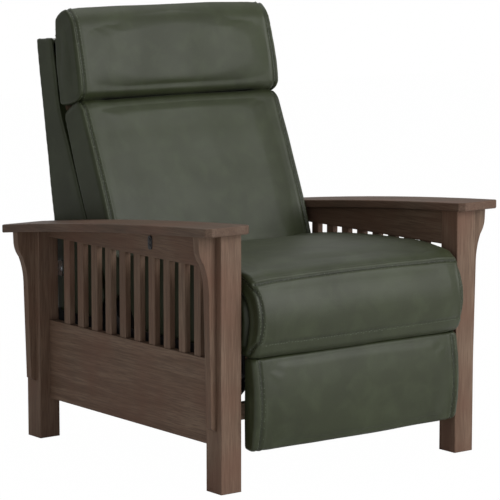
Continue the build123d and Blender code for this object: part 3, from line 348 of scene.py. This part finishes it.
# Mechanism steel: pressed plates, links, channels and tubes under black powder coat, with a faint
# orange-peel skin and dull rubbed corners where they are handled.
powder_black = (0.016, 0.016, 0.017, 1)
rubbed_steel = (0.16, 0.16, 0.165, 1)
corner_width, corner_share = 0.0012, 0.25
powder_coated = ["base_channels", "seat_plates", "slide_bars", "cross_tubes", "lift_shaft", "lift_links",
                 "lift_crank", "foot_links", "footrest_brackets", "back_brackets", "rail_hanger"]
powder, tree, shader = surface("powder_coat", IOR=1.5, Coat_Weight=0.25, Coat_Roughness=0.3)
peel = noise_of(tree, on_piece(tree), scale=900.0, detail=2.0)
worn = placed_group(tree, edge_wear, Width=corner_width)
rubbed = maths(tree, "MULTIPLY", worn.outputs["Mask"], corner_share)
feed(tree, shader, Base_Color=mixed(tree, rubbed, powder_black, rubbed_steel),
     Roughness=rough_by(tree, peel, 0.34, 0.46))
raised(tree, shader, peel, distance=0.0001, strength=0.4, normal=worn.outputs["Normal"])
dress(powder_coated, powder)

# Headrest hinges: blackened steel leaves and knuckles with a dry, matt skin, hidden in the notch.
# The lever that the small rod pushes has the same skin.
hinge_black = (0.006, 0.006, 0.006, 1)
hinge_grey = (0.012, 0.012, 0.013, 1)
blackened, tree, shader = surface("blackened_steel", Specular_IOR_Level=0.12)
patina = noise_of(tree, on_piece(tree), scale=120.0, detail=3.0)
feed(tree, shader, Base_Color=mixed(tree, patina, hinge_black, hinge_grey),
     Roughness=rough_by(tree, patina, 0.7, 0.85))
raised(tree, shader, patina, distance=0.00005, strength=0.4)
dress(["headrest_hinge_arms", "headrest_hinge_bases"], blackened)

# Fasteners, stop brackets, pins, springs, lead screw and push rod: zinc-plated steel, a little mottled.
# The screw's thread is cut round its bar.
zinc_pale = (0.63, 0.64, 0.66, 1)
zinc_dull = (0.42, 0.43, 0.44, 1)
thread_bands_per_metre = 260.0
zinc_plated = ["frame_bolts", "stop_brackets", "knee_pins", "footrest_pins", "back_hinge_pins",
               "headrest_rod", "seat_springs"]


def zinc_finish(name, threaded):
    """Mottled plating, with a thread's ridges where asked."""
    material, tree, shader = surface(name, Metallic=1.0)
    where = on_piece(tree)
    mottle = noise_of(tree, where, scale=140.0, detail=4.0)
    feed(tree, shader, Base_Color=mixed(tree, mottle, zinc_pale, zinc_dull),
         Roughness=rough_by(tree, mottle, 0.26, 0.42))
    if threaded:
        ridges = add(tree, "ShaderNodeTexWave", Scale=thread_bands_per_metre / pi)
        ridges.bands_direction = "Y"
        feed(tree, ridges, Vector=where)
        raised(tree, shader, ridges.outputs["Fac"], distance=0.0012)
    else:
        raised(tree, shader, mottle, distance=0.00008, strength=0.4)
    return material


dress(zinc_plated, zinc_finish("zinc_plate", False))
dress(["drive_screw"], zinc_finish("zinc_thread", True))

# Drive rail: one drawn aluminium section. The die has left fine lines along its length, a little duller
# than the rest.
alloy_colour = (0.58, 0.59, 0.61, 1)
drawn_along = (1.0, 0.01, 1.0)
alloy, tree, shader = surface("drawn_alloy", Metallic=1.0)
lines = noise_of(tree, squeezed(tree, drawn_along), scale=1500.0, detail=2.0)
feed(tree, shader, Base_Color=mixed(tree, ranged(tree, lines, *middle, to_high=0.35), alloy_colour, zinc_dull),
     Roughness=rough_by(tree, lines, 0.28, 0.40))
raised(tree, shader, lines, distance=0.00005, strength=0.4)
dress(["drive_rail"], alloy)

# Moulded parts: motors, supply, inlet, switch and buttons in black plastic with a spark-eroded skin, and
# shoes, sled and glides in dark nylon.
plastic_black = (0.017, 0.017, 0.018, 1)
nylon_dark = (0.055, 0.055, 0.058, 1)
patch_paler = 1.7


def moulded_finish(name, colour, rough_low, rough_high, pit_scale):
    """A moulded skin: fine pits and a soft patchiness."""
    material, tree, shader = surface(name, IOR=1.46)
    where = on_piece(tree)
    pits = noise_of(tree, where, scale=pit_scale, detail=3.0)
    patch = noise_of(tree, where, scale=30.0, detail=2.0)
    paler = tuple(min(1, c * patch_paler) for c in colour[:3]) + (1,)
    feed(tree, shader, Base_Color=mixed(tree, ranged(tree, patch, 0.35, 0.7, to_high=0.5), colour, paler),
         Roughness=rough_by(tree, pits, rough_low, rough_high))
    raised(tree, shader, pits, distance=0.00012, strength=0.5)
    return material


dress(["drive_motor", "headrest_motor", "power_supply", "power_inlet"],
      moulded_finish("moulded_case", plastic_black, 0.45, 0.6, pit_scale=1400.0))
dress(["switch_bezel", "recline_button", "return_button"],
      moulded_finish("switch_plastic", plastic_black, 0.3, 0.42, pit_scale=2200.0))
dress(["slide_shoes", "drive_sled", "floor_glides"],
      moulded_finish("nylon", nylon_dark, 0.38, 0.5, pit_scale=900.0))

# Back webbing: flat elastic straps stapled across the back's frame, woven in black with ribs across them
# and rows along them.
webbing_black = (0.022, 0.022, 0.023, 1)
webbing_grey = (0.075, 0.075, 0.078, 1)
rib_scale, row_scale = 170.0, 120.0
webbing, tree, shader = surface("elastic_webbing", Sheen_Weight=0.15)
where = on_piece(tree)
ribs = add(tree, "ShaderNodeTexWave", Scale=rib_scale)
ribs.bands_direction = "X"
rows = add(tree, "ShaderNodeTexWave", Scale=row_scale)
rows.bands_direction = "Z"
for wave in (ribs, rows):
    feed(tree, wave, Vector=where)
weave = maths(tree, "MULTIPLY", ribs.outputs["Fac"], rows.outputs["Fac"])
feed(tree, shader, Base_Color=mixed(tree, weave, webbing_black, webbing_grey),
     Roughness=ranged(tree, weave, low=0.0, high=1.0, to_low=0.75, to_high=0.9))
raised(tree, shader, weave, distance=0.0005)
dress(["back_webbing"], webbing)

# Leather: full-grain hide in a dark olive green, waxed, with cloudy tone and fine pebble grain. Shade is
# painted down into the seams, which are sewn with a paler green thread in pairs of rows.
hide_dark = (0.021, 0.026, 0.0095, 1)
hide_body = (0.028, 0.035, 0.0135, 1)
hide_light = (0.044, 0.055, 0.0255, 1)
seam_shadow = (0.008, 0.009, 0.005, 1)
thread_colour = (0.15, 0.175, 0.12, 1)
thread_shade = (0.075, 0.092, 0.06, 1)
valley_tone, valley_rough, fine_share = 0.22, 0.06, 0.35


def hide_group():
    """Cloudy dye, pebble grain and fine pores of a hide."""
    tree, start, end = new_group(
        "hide", [("Dark", "NodeSocketColor", hide_dark), ("Body", "NodeSocketColor", hide_body),
                 ("Light", "NodeSocketColor", hide_light)],
        [("Colour", "NodeSocketColor"), ("Roughness", "NodeSocketFloat"), ("Height", "NodeSocketFloat")])
    given = start.outputs
    where = on_piece(tree)
    cloud = noise_of(tree, where, scale=6.5, detail=4.0, distortion=0.6)
    smear = noise_of(tree, where, scale=22.0, detail=5.0, distortion=0.4)
    pebble = add(tree, "ShaderNodeTexVoronoi", Scale=620.0)
    pebble.feature = "SMOOTH_F1"
    feed(tree, pebble, Vector=where)
    fine = noise_of(tree, where, scale=1100.0, detail=2.0)
    toned = mixed(tree, ranged(tree, cloud, low=0.34, high=0.66), given["Dark"], given["Body"])
    mottled = mixed(tree, ranged(tree, smear, low=0.46, high=0.74, to_high=0.5), toned, given["Light"])
    valley = ranged(tree, pebble.outputs["Distance"], low=0.25, high=0.75)
    feed(tree, end,
         Colour=mixed(tree, maths(tree, "MULTIPLY", valley, valley_tone), mottled, given["Dark"]),
         Roughness=maths(tree, "ADD", rough_by(tree, cloud, 0.47, 0.41),
                         maths(tree, "MULTIPLY", valley, valley_rough)),
         Height=maths(tree, "SUBTRACT", maths(tree, "MULTIPLY", fine, fine_share), valley))
    return tree


hide = hide_group()
leather, tree, shader = surface("olive_leather", Specular_IOR_Level=0.34, Sheen_Weight=0.02,
                                Sheen_Roughness=0.5)
skin = placed_group(tree, hide)
# The "seam" mark paints shade into the leather's colour in the grooves of seams, folds and hem.
painted_seam_shade = tree.nodes.new("ShaderNodeAttribute")
painted_seam_shade.attribute_name = "seam"
feed(tree, shader, Base_Color=mixed(tree, painted_seam_shade.outputs["Fac"], skin.outputs["Colour"], seam_shadow),
     Roughness=skin.outputs["Roughness"])
raised(tree, shader, skin.outputs["Height"], distance=0.00016, strength=0.55)

thread, tree, shader = surface("bonded_thread", Sheen_Weight=0.1)
twist = noise_of(tree, on_piece(tree), scale=1900.0, detail=1.0)
twisted = ranged(tree, twist, low=0.4, high=0.6)
feed(tree, shader, Base_Color=mixed(tree, twisted, thread_colour, thread_shade),
     Roughness=rough_by(tree, twist, 0.45, 0.6))
raised(tree, shader, twist, distance=0.0002)

# Cushion making: a cover is cut close, held along its seams and blown up by its filling. It is kept within
# a few millimetres of the CAD form and stuffed out where the photo shows it fuller. Then the seams are drawn
# in and stitched.
cover_voxel = 0.0062
cover_shrink = 0.0025
cover_frames = 20
seam_hold = 0.0055
seam_groove_width = 0.0034
seam_depth = 0.0042
seam_ridge_place, seam_reach, seam_shade_fall = 2.2, 5, 2.5
cover_sag = 0.0025
filling_pressure = 11.0
cover_mass, cover_stiffness, cover_bending = 0.4, 5, 0.8
rear_lean = 0.7
seam_sample = 0.004
stitch_pitch = 0.0062
stitch_length = 0.0040
stitch_radius, stitch_flatness, stitch_lift = 0.00065, 0.8, 0.4
stitch_aside = 0.0055
shortest_step = 1e-6


def new_piece(name, mesh, material):
    """A named object with one finish."""
    made = bpy.data.objects.new(name, mesh)
    scene.collection.objects.link(made)
    mesh.materials.clear()
    mesh.materials.append(material)
    return made


def evaluated(obj):
    """The object's mesh with its modifiers applied."""
    bpy.context.view_layer.update()
    graph = bpy.context.evaluated_depsgraph_get()
    return bpy.data.meshes.new_from_object(obj.evaluated_get(graph))


def settle(obj):
    """Apply all modifiers of a piece."""
    mesh = evaluated(obj)
    old = obj.data
    obj.modifiers.clear()
    obj.data = mesh
    bpy.data.meshes.remove(old)


def ease(piece, times):
    """Even out a piece's surface, when its modifiers are applied."""
    smooth = piece.modifiers.new("ease", "SMOOTH")
    smooth.factor, smooth.iterations = 0.5, times


def shade_smooth(mesh):
    """Shade a mesh as one smooth surface."""
    for polygon in mesh.polygons:
        polygon.use_smooth = True


def skin_over(name, node, voxel, times):
    """Leather grown over a CAD form as an even, slightly smoothed mesh."""
    piece = new_piece(name, nodes[node].data.copy(), leather)
    remesh = piece.modifiers.new("skin", "REMESH")
    remesh.mode = "VOXEL"
    remesh.voxel_size = voxel
    ease(piece, times)
    settle(piece)
    return piece


def move_to(mesh, places):
    """Put every point of a mesh in its new place."""
    mesh.vertices.foreach_set("co", [c for place in places for c in place])
    mesh.update()


def tree_of(mesh):
    """A search tree over a mesh's faces."""
    return BVHTree.FromPolygons([v.co for v in mesh.vertices], [p.vertices for p in mesh.polygons])


def run_of(points):
    """A smooth line through given points, sampled evenly."""
    ends = [Vector(p) for p in points]
    padded_ends = [2 * ends[0] - ends[1]] + ends + [2 * ends[-1] - ends[-2]]
    line = []
    for a, b, c, d in zip(padded_ends, padded_ends[1:], padded_ends[2:], padded_ends[3:]):
        steps = max(1, round((c - b).length / seam_sample))
        for i in range(steps):
            t = i / steps
            line.append(0.5 * (2 * b + (c - a) * t + (2 * a - 5 * b + 4 * c - d) * t * t
                               + (3 * b - a - 3 * c + d) * t ** 3))
    return line + [ends[-1]]


def laid_on(line, faces):
    """A line dropped on the nearest surface, with the surface's normals."""
    found = [faces.find_nearest(p) for p in line]
    return [(f[0], f[1]) for f in found]


def search_of(lines):
    """A search tree over the points of several lines."""
    points = [p for line in lines for p in line]
    tree = kdtree.KDTree(max(1, len(points)))
    for i, p in enumerate(points):
        tree.insert(p, i)
    tree.balance()
    return tree


def past(value, low, width):
    """Nothing below a limit, rising smoothly to one over a width."""
    t = max(0.0, min(1.0, (value - low) / width))
    return t * t * (3 - 2 * t)


def bump_at(place, y, z, reach):
    """One at a line across the chair, falling to nothing at a distance from it."""
    x = min(1, ((place.y - y) ** 2 + (place.z - z) ** 2) ** 0.5 / reach)
    return (1 - x * x) ** 2


def evenly(swell):
    """The same allowance of swelling everywhere."""
    return lambda place: swell


def outward(place, broad, ahead, rise):
    """A push to the nearer side of the chair, forward and up."""
    return Vector((broad if place.x > 0 else -broad, -ahead, rise))


def rear_face(place, lean):
    """The rear face of a cushion, which lies on its webbing or board."""
    return lean.y > rear_lean


def blow_up(piece, fixed):
    """Fill a cover by simulation, its held points pinned."""
    piece.vertex_groups.new(name="held").add(fixed, 1.0, "REPLACE")
    cloth = piece.modifiers.new("filling", "CLOTH")
    cloth.settings.use_pressure = True
    cloth.settings.uniform_pressure_force = filling_pressure
    cloth.settings.vertex_group_mass = "held"
    cloth.settings.quality = 4
    cloth.settings.mass = cover_mass
    cloth.settings.tension_stiffness = cover_stiffness
    cloth.settings.compression_stiffness = cover_stiffness
    cloth.settings.bending_stiffness = cover_bending
    cloth.settings.effector_weights.gravity = 0.0
    cloth.collision_settings.use_collision = False
    cloth.point_cache.frame_start, cloth.point_cache.frame_end = 1, cover_frames
    for moment in range(1, cover_frames + 1):
        scene.frame_set(moment)
    settle(piece)
    scene.frame_set(1)


def kept_near(place, home, faces, cap, proud):
    """A blown-up point, no further from its start than a cap and from the form than allowed."""
    step = place - home
    if step.length > cap:
        step *= cap / step.length
    place = home + step
    spot, lean, _, away = faces.find_nearest(place)
    limit = proud(place) if (place - spot).dot(lean) > 0 else cover_sag
    return spot + (place - spot) * (limit / away) if away > limit else place


def filled_cover(name, node, seams, held, cap, proud, plump):
    """A cushion cover blown up from the CAD form: seams and held places stay, the rest swells."""
    form_faces = tree_of(nodes[node].data)
    piece = skin_over(name, node, cover_voxel, 2)
    mesh = piece.data
    leans = [v.normal.copy() for v in mesh.vertices]
    start = [v.co - lean * cover_shrink for v, lean in zip(mesh.vertices, leans)]
    move_to(mesh, start)
    cut_faces = tree_of(mesh)
    near = search_of([[p for p, n in laid_on(run_of(s), cut_faces)] for s in seams])
    fixed = [i for i, (home, lean) in enumerate(zip(start, leans))
             if near.find(home)[2] < seam_hold or held(home, lean)]
    blow_up(piece, fixed)
    move_to(piece.data, [kept_near(v.co, home, form_faces, cap, proud)
                         for v, home in zip(piece.data.vertices, start)])
    ease(piece, 2)
    rounder = piece.modifiers.new("round", "SUBSURF")
    rounder.levels = rounder.render_levels = 1
    settle(piece)
    full = []
    for vertex in piece.data.vertices:
        spot, lean, _, away = form_faces.find_nearest(vertex.co)
        inside = (vertex.co - spot).dot(lean) < 0
        full.append(vertex.co + plump(spot) + (lean * away if inside else Vector()))
    move_to(piece.data, full)
    ease(piece, 2)
    settle(piece)
    shade_smooth(piece.data)
    return piece


def draw_in(piece, lines, depth, width, ridge=0.35, shade=0.85):
    """Pull the surface in along lines, with a low ridge on both sides, and mark where it is shaded."""
    mesh = piece.data
    faces = tree_of(mesh)
    near = search_of([[p for p, n in laid_on(run_of(line), faces)] for line in lines])
    places, painted_seam_shade = [], []
    for vertex in mesh.vertices:
        x = near.find(vertex.co)[2] / width
        pull = 0
        if x < seam_reach:
            pull = depth * (exp(-x * x) - ridge * exp(-((x - seam_ridge_place) ** 2)))
        places.append(vertex.co - vertex.normal * pull)
        # painted shade for the groove, falling off from it, kept for the "seam" mark
        painted_seam_shade.append(shade * exp(-seam_shade_fall * x * x))
    move_to(mesh, places)
    mark = mesh.attributes.get("seam")
    if mark is None:
        mark = mesh.attributes.new("seam", "FLOAT", "POINT")
    before = [0.0] * len(painted_seam_shade)
    mark.data.foreach_get("value", before)
    mark.data.foreach_set("value", [max(a, b) for a, b in zip(before, painted_seam_shade)])


def soft_creases(piece, seed, depth, scale):
    """Slow hollows and swells left by handling."""
    offset = Vector((seed, 2 * seed, 3 * seed))
    move_to(piece.data, [v.co + v.normal * depth * noise.noise(v.co * scale + offset)
                         for v in piece.data.vertices])


def stitch_rows(name, piece, rows):
    """Rows of single stitches, each row a line set a distance to one side of its seam."""
    faces = tree_of(piece.data)
    bead = bmesh.new()
    bmesh.ops.create_icosphere(bead, subdivisions=1, radius=stitch_radius)
    bead_places = [Vector((v.co.x, v.co.y * stitch_length / (2 * stitch_radius), v.co.z * stitch_flatness))
                   for v in bead.verts]
    bead_faces = [[v.index for v in f.verts] for f in bead.faces]
    bead.free()
    places, polygons = [], []
    for line, aside in rows:
        track = laid_on(run_of(line), faces)
        walked = 0.0
        for (a, lean), (b, _) in zip(track, track[1:]):
            walked += (b - a).length
            if walked < stitch_pitch or (b - a).length < shortest_step:
                continue
            walked = 0.0
            along = (b - a).normalized()
            across = along.cross(lean).normalized()
            spot, up, _, _ = faces.find_nearest(a + across * aside)
            turn = Matrix((across, along, up)).transposed()
            first = len(places)
            places += [spot + up * stitch_radius * stitch_lift + turn @ place for place in bead_places]
            polygons += [[first + i for i in face] for face in bead_faces]
    data = bpy.data.meshes.new(name)
    data.from_pydata(places, [], polygons)
    shade_smooth(data)
    return new_piece(name, data, thread)


def mirrored_line(points):
    """The same line on the other side of the chair."""
    return [(-x, y, z) for x, y, z in points]


def both(line):
    """A line and its mirror image."""
    return [line, mirrored_line(line)]


def twin_rows(line):
    """Two rows of stitches along a seam, one on each side of it, and the same across the chair."""
    return [(run, aside) for run in both(line) for aside in (stitch_aside, -stitch_aside)]


def at_side(x, profile):
    """A line in the side plane at x, from places along and up."""
    return [(x, y, z) for y, z in profile]


def finish_soft(piece, node, body, stitching):
    """Tie a cover and its stitching to the CAD piece that they stand for."""
    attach(piece, body)
    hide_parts(node)
    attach(stitching, body)


# Seat cushion: foam over springs with a boxed leather cover. The top panel ends in a cross seam above the
# front roll, a hem is stitched along the roll's foot, and the boxing is folded in at the front corners.
seat_end_seam = at_side(0.298, [(-0.408, 0.318), (-0.436, 0.352), (-0.446, 0.402), (-0.430, 0.449),
                                (-0.380, 0.483), (-0.290, 0.495), (-0.160, 0.499), (-0.020, 0.499),
                                (0.080, 0.488)])
seat_front_seam = [(-0.298, -0.418, 0.474), (-0.15, -0.424, 0.484), (0, -0.424, 0.485),
                   (0.15, -0.424, 0.484), (0.298, -0.418, 0.474)]
seat_hem = [(-0.296, -0.450, 0.341), (0, -0.450, 0.341), (0.296, -0.450, 0.341)]
seat_underside_height, seat_rear_lean, seat_swell = 0.012, 0.75, 0.004
seat_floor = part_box("seat_cushion")[0].z + seat_underside_height
seat_crown_rise, seat_crown_sides, seat_crown_top = 0.005, (0.20, 0.07), (0.43, 0.05)
seat_roll_drop, seat_roll_foot, seat_roll_front = 0.004, (-0.335, 0.012), (0.36, 0.05)
seat_fold = at_side(0.306, [(-0.330, 0.462), (-0.384, 0.440), (-0.402, 0.395), (-0.392, 0.335)])


def seat_rests(place, lean):
    """The underside and the rear face, which lie on the springs and behind the back."""
    return place.z < seat_floor or lean.y > seat_rear_lean


def seat_plump(place):
    """The crown's sides stand a little higher than the form, and the roll hangs a little lower."""
    rise = seat_crown_rise * past(abs(place.x), *seat_crown_sides) * past(place.z, *seat_crown_top)
    drop = seat_roll_drop * past(-place.z, *seat_roll_foot) * past(-place.y, *seat_roll_front)
    return Vector((0, 0, rise - drop))


seat_seams = both(seat_end_seam) + [seat_front_seam]
seat_cover = filled_cover("seat_cover", "seat_cushion", seat_seams, seat_rests, cap=0.016,
                          proud=evenly(seat_swell), plump=seat_plump)
soft_creases(seat_cover, seed=3.1, depth=0.0016, scale=9.0)
draw_in(seat_cover, seat_seams, seam_depth, seam_groove_width)
draw_in(seat_cover, both(seat_fold), depth=0.006, width=0.006, ridge=0.5)
draw_in(seat_cover, [seat_hem], depth=0.0016, width=seam_groove_width, ridge=0.2, shade=0.35)
front_seam_aside, hem_aside = 0.005, 0.003
seat_stitches = stitch_rows("seat_stitches", seat_cover, twin_rows(seat_end_seam) + [
    (seat_front_seam, front_seam_aside), (seat_hem, hem_aside)])
finish_soft(seat_cover, "seat_cushion", "seat", stitching=seat_stitches)

# Back cushion: a boxed cushion that leans between the side panels. Its end seams run down the front edges
# and turn back along the top into the slit under the headrest.
back_end_seam = at_side(0.291, [(0.346, 0.812), (0.306, 0.829), (0.279, 0.829), (0.264, 0.808),
                                (0.250, 0.776), (0.220, 0.708), (0.188, 0.636), (0.155, 0.560),
                                (0.123, 0.486), (0.098, 0.430), (0.070, 0.372)])
notch_sides, cushion_ends, notch_forward = (0.21, 0.06), (0.26, 0.035), 0.3
back_lip_lift, back_lip = 0.006, (0.275, 0.828, 0.08)
back_corner_lift, back_corner = 0.011, (0.322, 0.824, 0.055)
back_breadth, back_foot = 0.008, (0.42, 0.08)
back_fullness, back_upper_part = 0.006, (0.66, 0.12)
back_head_height, back_head_depth = 0.80, 0.31
notch_swell, cushion_swell = 0.009, 0.005


def back_proud(place):
    """How far the back may swell: most at its head, which meets the headrest."""
    at_notch = place.z > back_head_height and place.y < back_head_depth
    return notch_swell if at_notch else cushion_swell


def back_plump(place):
    """The head of the back closes the notch, most at its ends, and its sides bulge."""
    side = past(abs(place.x), *notch_sides)
    lift = (back_lip_lift * bump_at(place, *back_lip)
            + back_corner_lift * side * bump_at(place, *back_corner))
    broad = back_breadth * past(abs(place.x), *cushion_ends) * past(place.z, *back_foot)
    ahead = back_fullness * past(place.z, *back_upper_part)
    return outward(place, broad, notch_forward * lift + ahead, lift)


back_cover = filled_cover("back_cover", "back_cushion", both(back_end_seam), rear_face, cap=0.016,
                          proud=back_proud, plump=back_plump)
soft_creases(back_cover, seed=5.7, depth=0.0022, scale=7.0)
draw_in(back_cover, both(back_end_seam), seam_depth, seam_groove_width)
back_stitches = stitch_rows("back_stitches", back_cover, twin_rows(back_end_seam))
finish_soft(back_cover, "back_cushion", "back", stitching=back_stitches)
for yielding in (back_cover, back_stitches):
    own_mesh(yielding)

# Headrest: a fat roll of foam over a plywood board, in the same leather. Its ends are boxed, and its foot is
# drawn down into the notch above the back and tied to the board.
head_end_seam = at_side(0.292, [(0.384, 0.900), (0.388, 0.990), (0.376, 1.034), (0.350, 1.058),
                                (0.322, 1.060), (0.302, 1.040), (0.291, 1.000), (0.275, 0.925),
                                (0.258, 0.866), (0.286, 0.836)])
head_foot_lean, head_foot_rear = -0.6, 0.30
head_foot_height, head_foot_front = 0.875, 0.295
head_lip_drop, head_lip = 0.007, (0.272, 0.858, 0.08)
head_corner_drop, head_corner = 0.008, (0.322, 0.850, 0.055)
head_breadth, head_broad_below = 0.003, (-1.02, 0.12)
head_fullness, head_full_below, head_front = 0.008, (-1.0, 0.12), (-0.34, 0.04)
head_settling, head_top = 0.006, (0.98, 0.08)


def head_rests(place, lean):
    """The rear of the roll's foot, tied down to the board."""
    return lean.z < head_foot_lean and place.y > head_foot_rear


def head_proud(place):
    """How far the headrest may swell: most at its front foot, over the notch."""
    at_notch = place.z < head_foot_height and place.y < head_foot_front
    return notch_swell if at_notch else cushion_swell


def head_plump(place):
    """The foot of the roll closes the notch, most at its ends, its front bulges and its top settles."""
    side = past(abs(place.x), *notch_sides)
    drop = (head_lip_drop * bump_at(place, *head_lip)
            + head_corner_drop * side * bump_at(place, *head_corner))
    broad = head_breadth * past(abs(place.x), *cushion_ends) * (1 + past(-place.z, *head_broad_below))
    ahead = head_fullness * past(-place.z, *head_full_below) * past(-place.y, *head_front)
    return outward(place, broad, notch_forward * drop + ahead, -drop - head_settling * past(place.z, *head_top))


head_cover = filled_cover("headrest_cover", "headrest_cushion", both(head_end_seam), head_rests, cap=0.016,
                          proud=head_proud, plump=head_plump)
soft_creases(head_cover, seed=8.3, depth=0.0018, scale=9.0)
draw_in(head_cover, both(head_end_seam), seam_depth, seam_groove_width)
head_stitches = stitch_rows("headrest_stitches", head_cover, twin_rows(head_end_seam))
finish_soft(head_cover, "headrest_cushion", "headrest", stitching=head_stitches)

# Footrest pad: flat foam over a board, in the same leather. A boxing strip is sewn on near each end, and the
# cover is stapled to the rear of the board.
foot_end_seam = at_side(0.288, [(-0.392, 0.098), (-0.420, 0.106), (-0.429, 0.140), (-0.434, 0.200),
                                (-0.429, 0.258), (-0.420, 0.291), (-0.392, 0.298)])
foot_swell = 0.003
foot_breadth, foot_ends = 0.007, (0.26, 0.03)
foot_rise, foot_top = 0.005, (0.265, 0.03)


def foot_plump(place):
    """The pad's top and ends are stuffed out."""
    broad = foot_breadth * past(abs(place.x), *foot_ends)
    return outward(place, broad, 0, foot_rise * past(place.z, *foot_top))


foot_cover = filled_cover("footrest_cover", "footrest_pad", both(foot_end_seam), rear_face, cap=0.012,
                          proud=evenly(foot_swell), plump=foot_plump)
soft_creases(foot_cover, seed=1.9, depth=0.0012, scale=8.0)
draw_in(foot_cover, both(foot_end_seam), seam_depth, seam_groove_width)
foot_stitches = stitch_rows("footrest_stitches", foot_cover, twin_rows(foot_end_seam))
finish_soft(foot_cover, "footrest_pad", "footrest", stitching=foot_stitches)

# Outer back: leather pulled over thin padding on the shell's boards. The edges are soft, a narrow welt follows
# the front edge of each side, and a row of stitches runs down the corners behind.
shell_voxel = 0.0042
welt_radius, welt_step = 0.0024, 4
shell_stitch_aside = 0.006
shell_front_edge = at_side(0.3025, [(0.3925, 0.984), (0.375, 0.900), (0.3592, 0.816), (0.320, 0.724),
                                    (0.280, 0.630), (0.240, 0.536), (0.200, 0.442), (0.171, 0.374)])
shell_rear_edge = at_side(0.3015, [(0.462, 0.976), (0.448, 0.893), (0.4345, 0.809), (0.421, 0.718),
                                   (0.4075, 0.625), (0.390, 0.540), (0.384, 0.430), (0.378, 0.318)])
shell_cover = skin_over("shell_cover", "back_shell", shell_voxel, 5)
shade_smooth(shell_cover.data)
soft_creases(shell_cover, seed=6.2, depth=0.0010, scale=7.0)
draw_in(shell_cover, both(shell_rear_edge), depth=0.0016, width=0.004)
shell_stitches = stitch_rows("shell_stitches", shell_cover,
                             [(run, shell_stitch_aside) for run in both(shell_rear_edge)])


def welt(name, lines, radius):
    """Thin piping of rolled leather along lines."""
    curve = bpy.data.curves.new(name, "CURVE")
    curve.dimensions = "3D"
    curve.bevel_depth = radius
    curve.bevel_resolution = 3
    curve.use_fill_caps = True
    for line in lines:
        points = run_of(line)[::welt_step] + [Vector(line[-1])]
        spline = curve.splines.new("POLY")
        spline.points.add(len(points) - 1)
        for knot, place in zip(spline.points, points):
            knot.co = (*place, 1)
    made = bpy.data.objects.new(name, curve)
    scene.collection.objects.link(made)
    mesh = evaluated(made)
    bpy.data.objects.remove(made)
    shade_smooth(mesh)
    return new_piece(name, mesh, leather)


lining_outer, lining_inner, lining_thickness = 0.2985, 0.262, 0.0012
lining_profile = [(0.3905, 0.940), (0.3625, 0.816), (0.320, 0.7215), (0.280, 0.6280), (0.240, 0.5345),
                  (0.200, 0.4410), (0.1735, 0.379)]


def lining_strips():
    """The cover's leather carried round the side's front edge and stapled on the stile."""
    places, polygons = [], []
    for side in (1, -1):
        for x in (lining_outer, lining_inner):
            for y, z in lining_profile:
                places += [Vector((side * x, y + lining_thickness, z)), Vector((side * x, y, z))]
    count = 2 * len(lining_profile)
    for strip in range(2):
        outer, inner = 2 * strip * count, (2 * strip + 1) * count
        for i in range(0, count - 2, 2):
            ring = [outer + i, outer + i + 1, inner + i + 1, inner + i]
            after = [k + 2 for k in ring]
            polygons += [[ring[k], ring[(k + 1) % 4], after[(k + 1) % 4], after[k]] for k in range(4)]
        last = count - 2
        polygons += [[outer + 1, outer, inner, inner + 1],
                     [outer + last, outer + last + 1, inner + last + 1, inner + last]]
    data = bpy.data.meshes.new("shell_lining")
    data.from_pydata(places, [], polygons)
    bm = bmesh.new()
    bm.from_mesh(data)
    bmesh.ops.recalc_face_normals(bm, faces=bm.faces)
    bm.to_mesh(data)
    bm.free()
    return new_piece("shell_lining", data, leather)


shell_lining = lining_strips()
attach(shell_lining, "back")
shell_welts = welt("shell_welts", both(shell_front_edge), welt_radius)
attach(shell_welts, "back")
finish_soft(shell_cover, "back_shell", "back", stitching=shell_stitches)

# Rear shade sheet: thin black bonded cloth stapled along the rear panel's inner top edge and stretched between
# the rear posts. It is a dark sheet that stands in for the shade under the back, and closes the view there.
# The cloth's near-black tones are painted shade for the space under the back.
shade_sheet_black = (0.010, 0.010, 0.010, 1)
shade_sheet_grey = (0.020, 0.020, 0.021, 1)
shade_sheet_clearance, shade_sheet_thickness = 0.003, 0.0008
shade_sheet_lap, shade_sheet_top = 0.018, 0.322
shade_sheet_columns, shade_sheet_rows = 48, 10
shade_sheet_slack, shade_sheet_waves, shade_sheet_folds = 0.003, 9, 2
bonded, tree, shader = surface("bonded_cloth", Sheen_Weight=0.1, Roughness=0.9)
fibres = noise_of(tree, on_piece(tree), scale=700.0, detail=3.0)
feed(tree, shader,
     Base_Color=mixed(tree, ranged(tree, fibres, low=0.35, high=0.65), shade_sheet_black, shade_sheet_grey))
raised(tree, shader, fibres, distance=0.0002)
panel_low, panel_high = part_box("rear_panel")
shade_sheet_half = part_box("rear_post_left")[0].x - shade_sheet_clearance
shade_sheet_foot = panel_high.z - shade_sheet_lap
shade_sheet_places, shade_sheet_faces = [], []
for row in range(shade_sheet_rows + 1):
    up = row / shade_sheet_rows
    for column in range(shade_sheet_columns + 1):
        across = column / shade_sheet_columns
        wave = noise.noise(Vector((shade_sheet_waves * across, shade_sheet_folds * up, 0)))
        ripple = shade_sheet_slack * (1 + wave) * sin(pi * across) * up
        shade_sheet_places.append((shade_sheet_half * (2 * across - 1), panel_low.y - shade_sheet_clearance - ripple,
                            shade_sheet_foot + (shade_sheet_top - shade_sheet_foot) * up))
for row in range(shade_sheet_rows):
    for column in range(shade_sheet_columns):
        corner = row * (shade_sheet_columns + 1) + column
        shade_sheet_faces.append((corner, corner + 1, corner + shade_sheet_columns + 2, corner + shade_sheet_columns + 1))
shade_sheet_data = bpy.data.meshes.new("shade_sheet")
shade_sheet_data.from_pydata(shade_sheet_places, [], shade_sheet_faces)
shade_sheet = new_piece("shade_sheet", shade_sheet_data, bonded)
shade_sheet_body = shade_sheet.modifiers.new("body", "SOLIDIFY")
shade_sheet_body.thickness = shade_sheet_thickness
settle(shade_sheet)
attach(shade_sheet, "frame")
